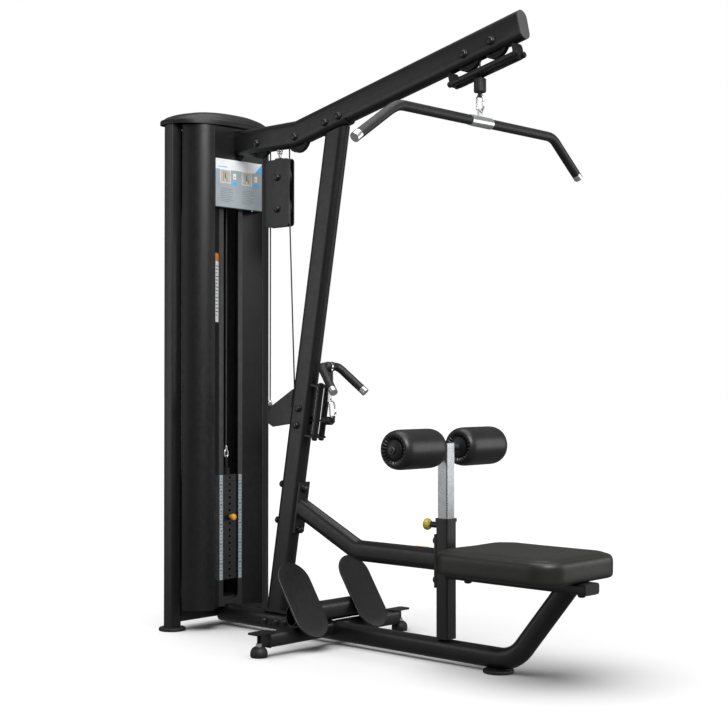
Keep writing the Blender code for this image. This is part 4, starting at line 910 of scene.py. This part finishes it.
def seam(obj, bottom, top):
    """Presses the seam line into the top edge, keeps the board side flat and the pad within its CAD box."""
    co = values_of(obj.data)
    inner = np.array(even_outline(PAD_HALF[0] - 0.024, PAD_HALF[1] - 0.024, PAD_CORNER - 0.022, 720))
    inner[:, 0] += PAD_X
    upper = np.flatnonzero(co[:, 2] > top - 0.020)
    for i in upper:
        near = np.min(np.hypot(inner[:, 0] - co[i, 0], inner[:, 1] - co[i, 1]))
        co[i, 2] -= 0.0030 * math.exp(-(near / 0.0050) ** 2)
    co[:, 0] = np.clip(co[:, 0], PAD_X - PAD_HALF[0], PAD_X + PAD_HALF[0])
    co[:, 1] = np.clip(co[:, 1], -PAD_HALF[1], PAD_HALF[1])
    co[:, 2] = np.clip(co[:, 2], bottom, top + 0.004)
    obj.data.vertices.foreach_set("co", co.ravel())
    obj.data.update()


def build_stitches(pad):
    """Thread stitches laid along the seam on the pad's top."""
    count = 260
    line = even_outline(PAD_HALF[0] - 0.0215, PAD_HALF[1] - 0.0215, PAD_CORNER - 0.020, count)
    shapes = []
    bpy.context.view_layer.update()
    for i, (x, y) in enumerate(line):
        ahead = Vector((*line[(i + 1) % count], 0)) - Vector((x, y, 0))
        hit, spot, _, _ = pad.ray_cast(Vector((PAD_X + x, y, 0.6)), Vector((0, 0, -1)))
        if not hit:
            continue
        side = Vector((-ahead.y, ahead.x, 0)).normalized()
        matrix = frame_along(spot + Vector((0, 0, 0.0002)), ahead, side)
        long = ahead.length * 0.36
        rows = [[matrix @ Vector((r * math.cos(a), r * math.sin(a),
                                  z)) for a in (2 * math.pi * k / 6 for k in range(6))]
                for r, z in ((0.0003, -long), (0.0006, -long * 0.6), (0.0006, long * 0.6), (0.0003, long))]
        shapes.append(grid(rows))
    piece("seat_cushion_stitches", merged(shapes), THREAD, "frame")


# ---------------- labels
def sticker(items, matrix):
    """Thin solid patches from (u0, u1, v0, v1, layer, material index) or (corners, layer, index)."""
    shapes = []
    marks = []
    for item in items:
        if len(item) == 3:
            corners, layer, index = item
        else:
            u0, u1, v0, v1, layer, index = item
            corners = [(u0, v0), (u1, v0), (u1, v1), (u0, v1)]
        low = 0.00012 * layer
        high = low + 0.00025
        count = len(corners)
        points = [tuple(matrix @ Vector((u, v, low))) for u, v in corners]
        points += [tuple(matrix @ Vector((u, v, high))) for u, v in corners]
        faces = [tuple(range(count))[::-1], tuple(range(count, 2 * count))]
        faces += [(k, (k + 1) % count, count + (k + 1) % count, count + k) for k in range(count)]
        shapes.append((points, faces))
        marks += [index] * len(faces)
    return merged(shapes), marks


def label(name, items, matrix, mats):
    """A printed label: one piece whose patches carry different inks."""
    shape, marks = sticker(items, matrix)
    mesh = bpy.data.meshes.new(name)
    mesh.from_pydata(shape[0], [], shape[1])
    for mat in mats:
        mesh.materials.append(mat)
    mesh.polygons.foreach_set("material_index", marks)
    obj = bpy.data.objects.new(name, mesh)
    bpy.context.scene.collection.objects.link(obj)
    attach(obj, "frame")


def facing(point, normal, up=(0, 0, 1)):
    """A matrix whose XY plane is a label's face: +Y up, +Z along the normal."""
    z = Vector(normal).normalized()
    x = Vector(up).cross(z).normalized()
    return Matrix.Translation(point) @ Matrix((x, z.cross(x), z)).transposed().to_4x4()


def figure(u, v, s, ink_index):
    """A seated stick figure of size s at a machine, from small patches."""
    patches = ((-0.10, 0.08, 0.62, 0.80), (-0.12, 0.06, 0.20, 0.60), (-0.10, 0.30, 0.12, 0.22),
               (0.22, 0.30, -0.20, 0.14), (-0.34, -0.28, -0.25, 0.95), (-0.34, 0.30, 0.90, 0.95))
    return [(u + a * s, u + b * s, v + c * s, v + d * s, 4, ink_index) for a, b, c, d in patches]


def build_labels():
    """Exercise placard, number strips, side label and the small label on the brace, all without words."""
    mats = [LABEL_GREY, PAPER, LABEL_BLUE, LABEL_SAND, LABEL_INK, LABEL_ORANGE, LABEL_STRIP]
    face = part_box("front_shroud")[1].x
    half = 0.1195
    low, high = -0.092, 0.092
    band = high - 0.040
    items = [(-half, half, low, high, 0, 0), (-half, half, band, high, 1, 1)]
    items += [([(0.082, band), (half, band), (half, high - 0.002)], 2, 2),
              (-0.108, -0.060, band + 0.008, band + 0.011, 2, 2)]
    for u in (-0.070, 0.040):
        items.append((u - 0.026, u + 0.026, 0.000, 0.052, 2, 1))
        items.append((u - 0.024, u + 0.024, 0.002, 0.050, 3, 3))
        items += figure(u, 0.014, 0.030, 4)
        for i in range(8):
            width = (0.060, 0.052, 0.064, 0.046)[i % 4]
            items.append((u - 0.024, u - 0.024 + width, -0.022 - i * 0.0070, -0.0210 - i * 0.0070, 2, 4))
        items.append((u + 0.034, u + 0.060, -0.006, 0.010, 2, 2))
        items.append((u + 0.040, u + 0.054, 0.018, 0.040, 2, 1))
        items.append((u + 0.044, u + 0.050, 0.024, 0.030, 3, 5))
    label("exercise_placard", items, facing((face + 0.0002, 0, PLACARD_Z), (1, 0, 0)), mats)

    for name, side in SIDES:
        strip = [(-0.0085, 0.0085, STRIP_BOTTOM, 0.584, 0, 6)]
        for i in range(16):
            z = STRIP_BOTTOM + i * PLATE_PITCH
            strip.append((-0.0080, 0.0080, z + 0.0012, z + PLATE_PITCH - 0.0012, 1, 0))
            digits = (i % 3) + 1
            for d in range(digits):
                u = (d - (digits - 1) / 2) * 0.0040
                strip.append((u - 0.0013, u + 0.0013, z + 0.0080, z + 0.0160, 2, 4))
        label(f"weight_strip_{name}", strip, facing((-0.7676, side * 0.0485, 0), (1, 0, 0)), mats)

    wall_a = Vector((-0.723, -0.1246, 0))
    wall_b = Vector((-0.769, -0.0603, 0))
    along = (wall_b - wall_a).normalized()
    normal = Vector((along.y, -along.x, 0))
    spot = wall_a.lerp(wall_b, 0.52) + normal * 0.0014
    wide = 0.024
    side_label = [(-wide, wide, 1.174, 1.439, 0, 1), (-wide, wide, 1.408, 1.439, 1, 5)]
    side_label += [(-wide * 0.8, wide * (0.8 - 0.25 * (i % 3)), 1.388 - i * 0.0135, 1.3915 - i * 0.0135, 1, 4)
                   for i in range(15)]
    label("tower_side_label", side_label, facing(spot, normal), mats)
    brace_top = min(0.3826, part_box("seat_brace")[1].z)
    label("brace_label", [(-0.030, 0.030, -0.008, 0.008, 0, 5), (-0.024, 0.010, -0.002, 0.002, 1, 4)],
          facing((0.215, 0, brace_top), (0, 0, 1), (0, 1, 0)), mats)


# ---------------- stage, light, camera
def build_stage():
    """Pale floor that fades into a white room."""
    mesh = bpy.data.meshes.new("floor")
    mesh.from_pydata([(-60, -60, 0), (60, -60, 0), (60, 60, 0), (-60, 60, 0)], [], [(0, 1, 2, 3)])
    floor = bpy.data.objects.new("floor", mesh)
    mat = bpy.data.materials.new("floor_paint")
    mat.use_nodes = True
    bsdf = mat.node_tree.nodes["Principled BSDF"]
    bsdf.inputs["Base Color"].default_value = (0.92, 0.92, 0.92, 1)
    bsdf.inputs["Roughness"].default_value = 0.9
    bsdf.inputs["Specular IOR Level"].default_value = 0.1
    mesh.materials.append(mat)
    bpy.context.scene.collection.objects.link(floor)
    floor.visible_diffuse = False
    floor.visible_glossy = False
    floor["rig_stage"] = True


def lamp(name, spot, target, size, power):
    """A square soft light aimed at a point."""
    data = bpy.data.lights.new(name, "AREA")
    data.shape = "SQUARE"
    data.size = size
    data.energy = power
    obj = bpy.data.objects.new(name, data)
    obj.location = spot
    obj.rotation_euler = (Vector(target) - Vector(spot)).to_track_quat("-Z", "Y").to_euler()
    bpy.context.scene.collection.objects.link(obj)


def build_light():
    """White room for the camera, dim surroundings for the machine, four softboxes and a soft overhead sun."""
    world = bpy.data.worlds.new("room")
    world.use_nodes = True
    tree = world.node_tree
    back = tree.nodes["Background"]
    back.inputs["Color"].default_value = (1.0, 1.0, 1.0, 1)
    path = tree.nodes.new("ShaderNodeLightPath")
    shade = tree.nodes.new("ShaderNodeMix")
    shade.data_type = "FLOAT"
    shade.inputs["A"].default_value = 0.16
    shade.inputs["B"].default_value = 1.0
    link(tree, path.outputs["Is Camera Ray"], shade.inputs["Factor"])
    link(tree, shade.outputs["Result"], back.inputs["Strength"])
    bpy.context.scene.world = world
    lamp("left_box", (-2.8, -3.4, 1.4), (0.2, 0, 0.8), 3.0, 31)
    lamp("right_box", (3.1, 3.1, 1.35), (0, 0, 1.0), 2.4, 42)
    lamp("front_box", (4.4, -1.8, 4.6), (0, 0, 1.0), 3.4, 380)
    lamp("top_box", (0.0, 0.0, 9.0), (0, 0, 0), 8.0, 520)
    sun = bpy.data.lights.new("overhead", "SUN")
    sun.energy = 3.5
    sun.angle = math.radians(80)
    obj = bpy.data.objects.new("overhead", sun)
    obj.rotation_euler = (math.radians(12), math.radians(-10), 0)
    bpy.context.scene.collection.objects.link(obj)


def link_light():
    """The boxes light the machine, and the overhead sun lights the floor."""
    machine = bpy.data.collections.new("lit_machine")
    ground = bpy.data.collections.new("lit_floor")
    for obj in bpy.context.scene.objects:
        if obj.type == "MESH":
            (ground if obj.get("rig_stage") else machine).objects.link(obj)
    for obj in bpy.context.scene.objects:
        if obj.type == "LIGHT":
            obj.light_linking.receiver_collection = ground if obj.data.type == "SUN" else machine


def build_camera():
    """Camera at the photograph's viewing angle."""
    data = bpy.data.cameras.new("camera")
    data.lens = 69.72
    data.sensor_width = 36
    cam = bpy.data.objects.new("camera", data)
    cam.location = (3.371, -3.649, 0.945)
    cam.rotation_euler = (math.radians(90.72), 0, math.radians(43.2))
    bpy.context.scene.collection.objects.link(cam)
    bpy.context.scene.camera = cam


bpy.context.scene.view_settings.view_transform = "Standard"
build_camera()
build_stage()
build_light()
dress_cad()
build_fasteners()
build_pulleys()
build_cables()
build_cap()
build_feet()
build_handles()
build_fittings()
build_foot_plates()
build_knobs()
build_rollers()
build_seat_pad()
build_labels()
link_light()
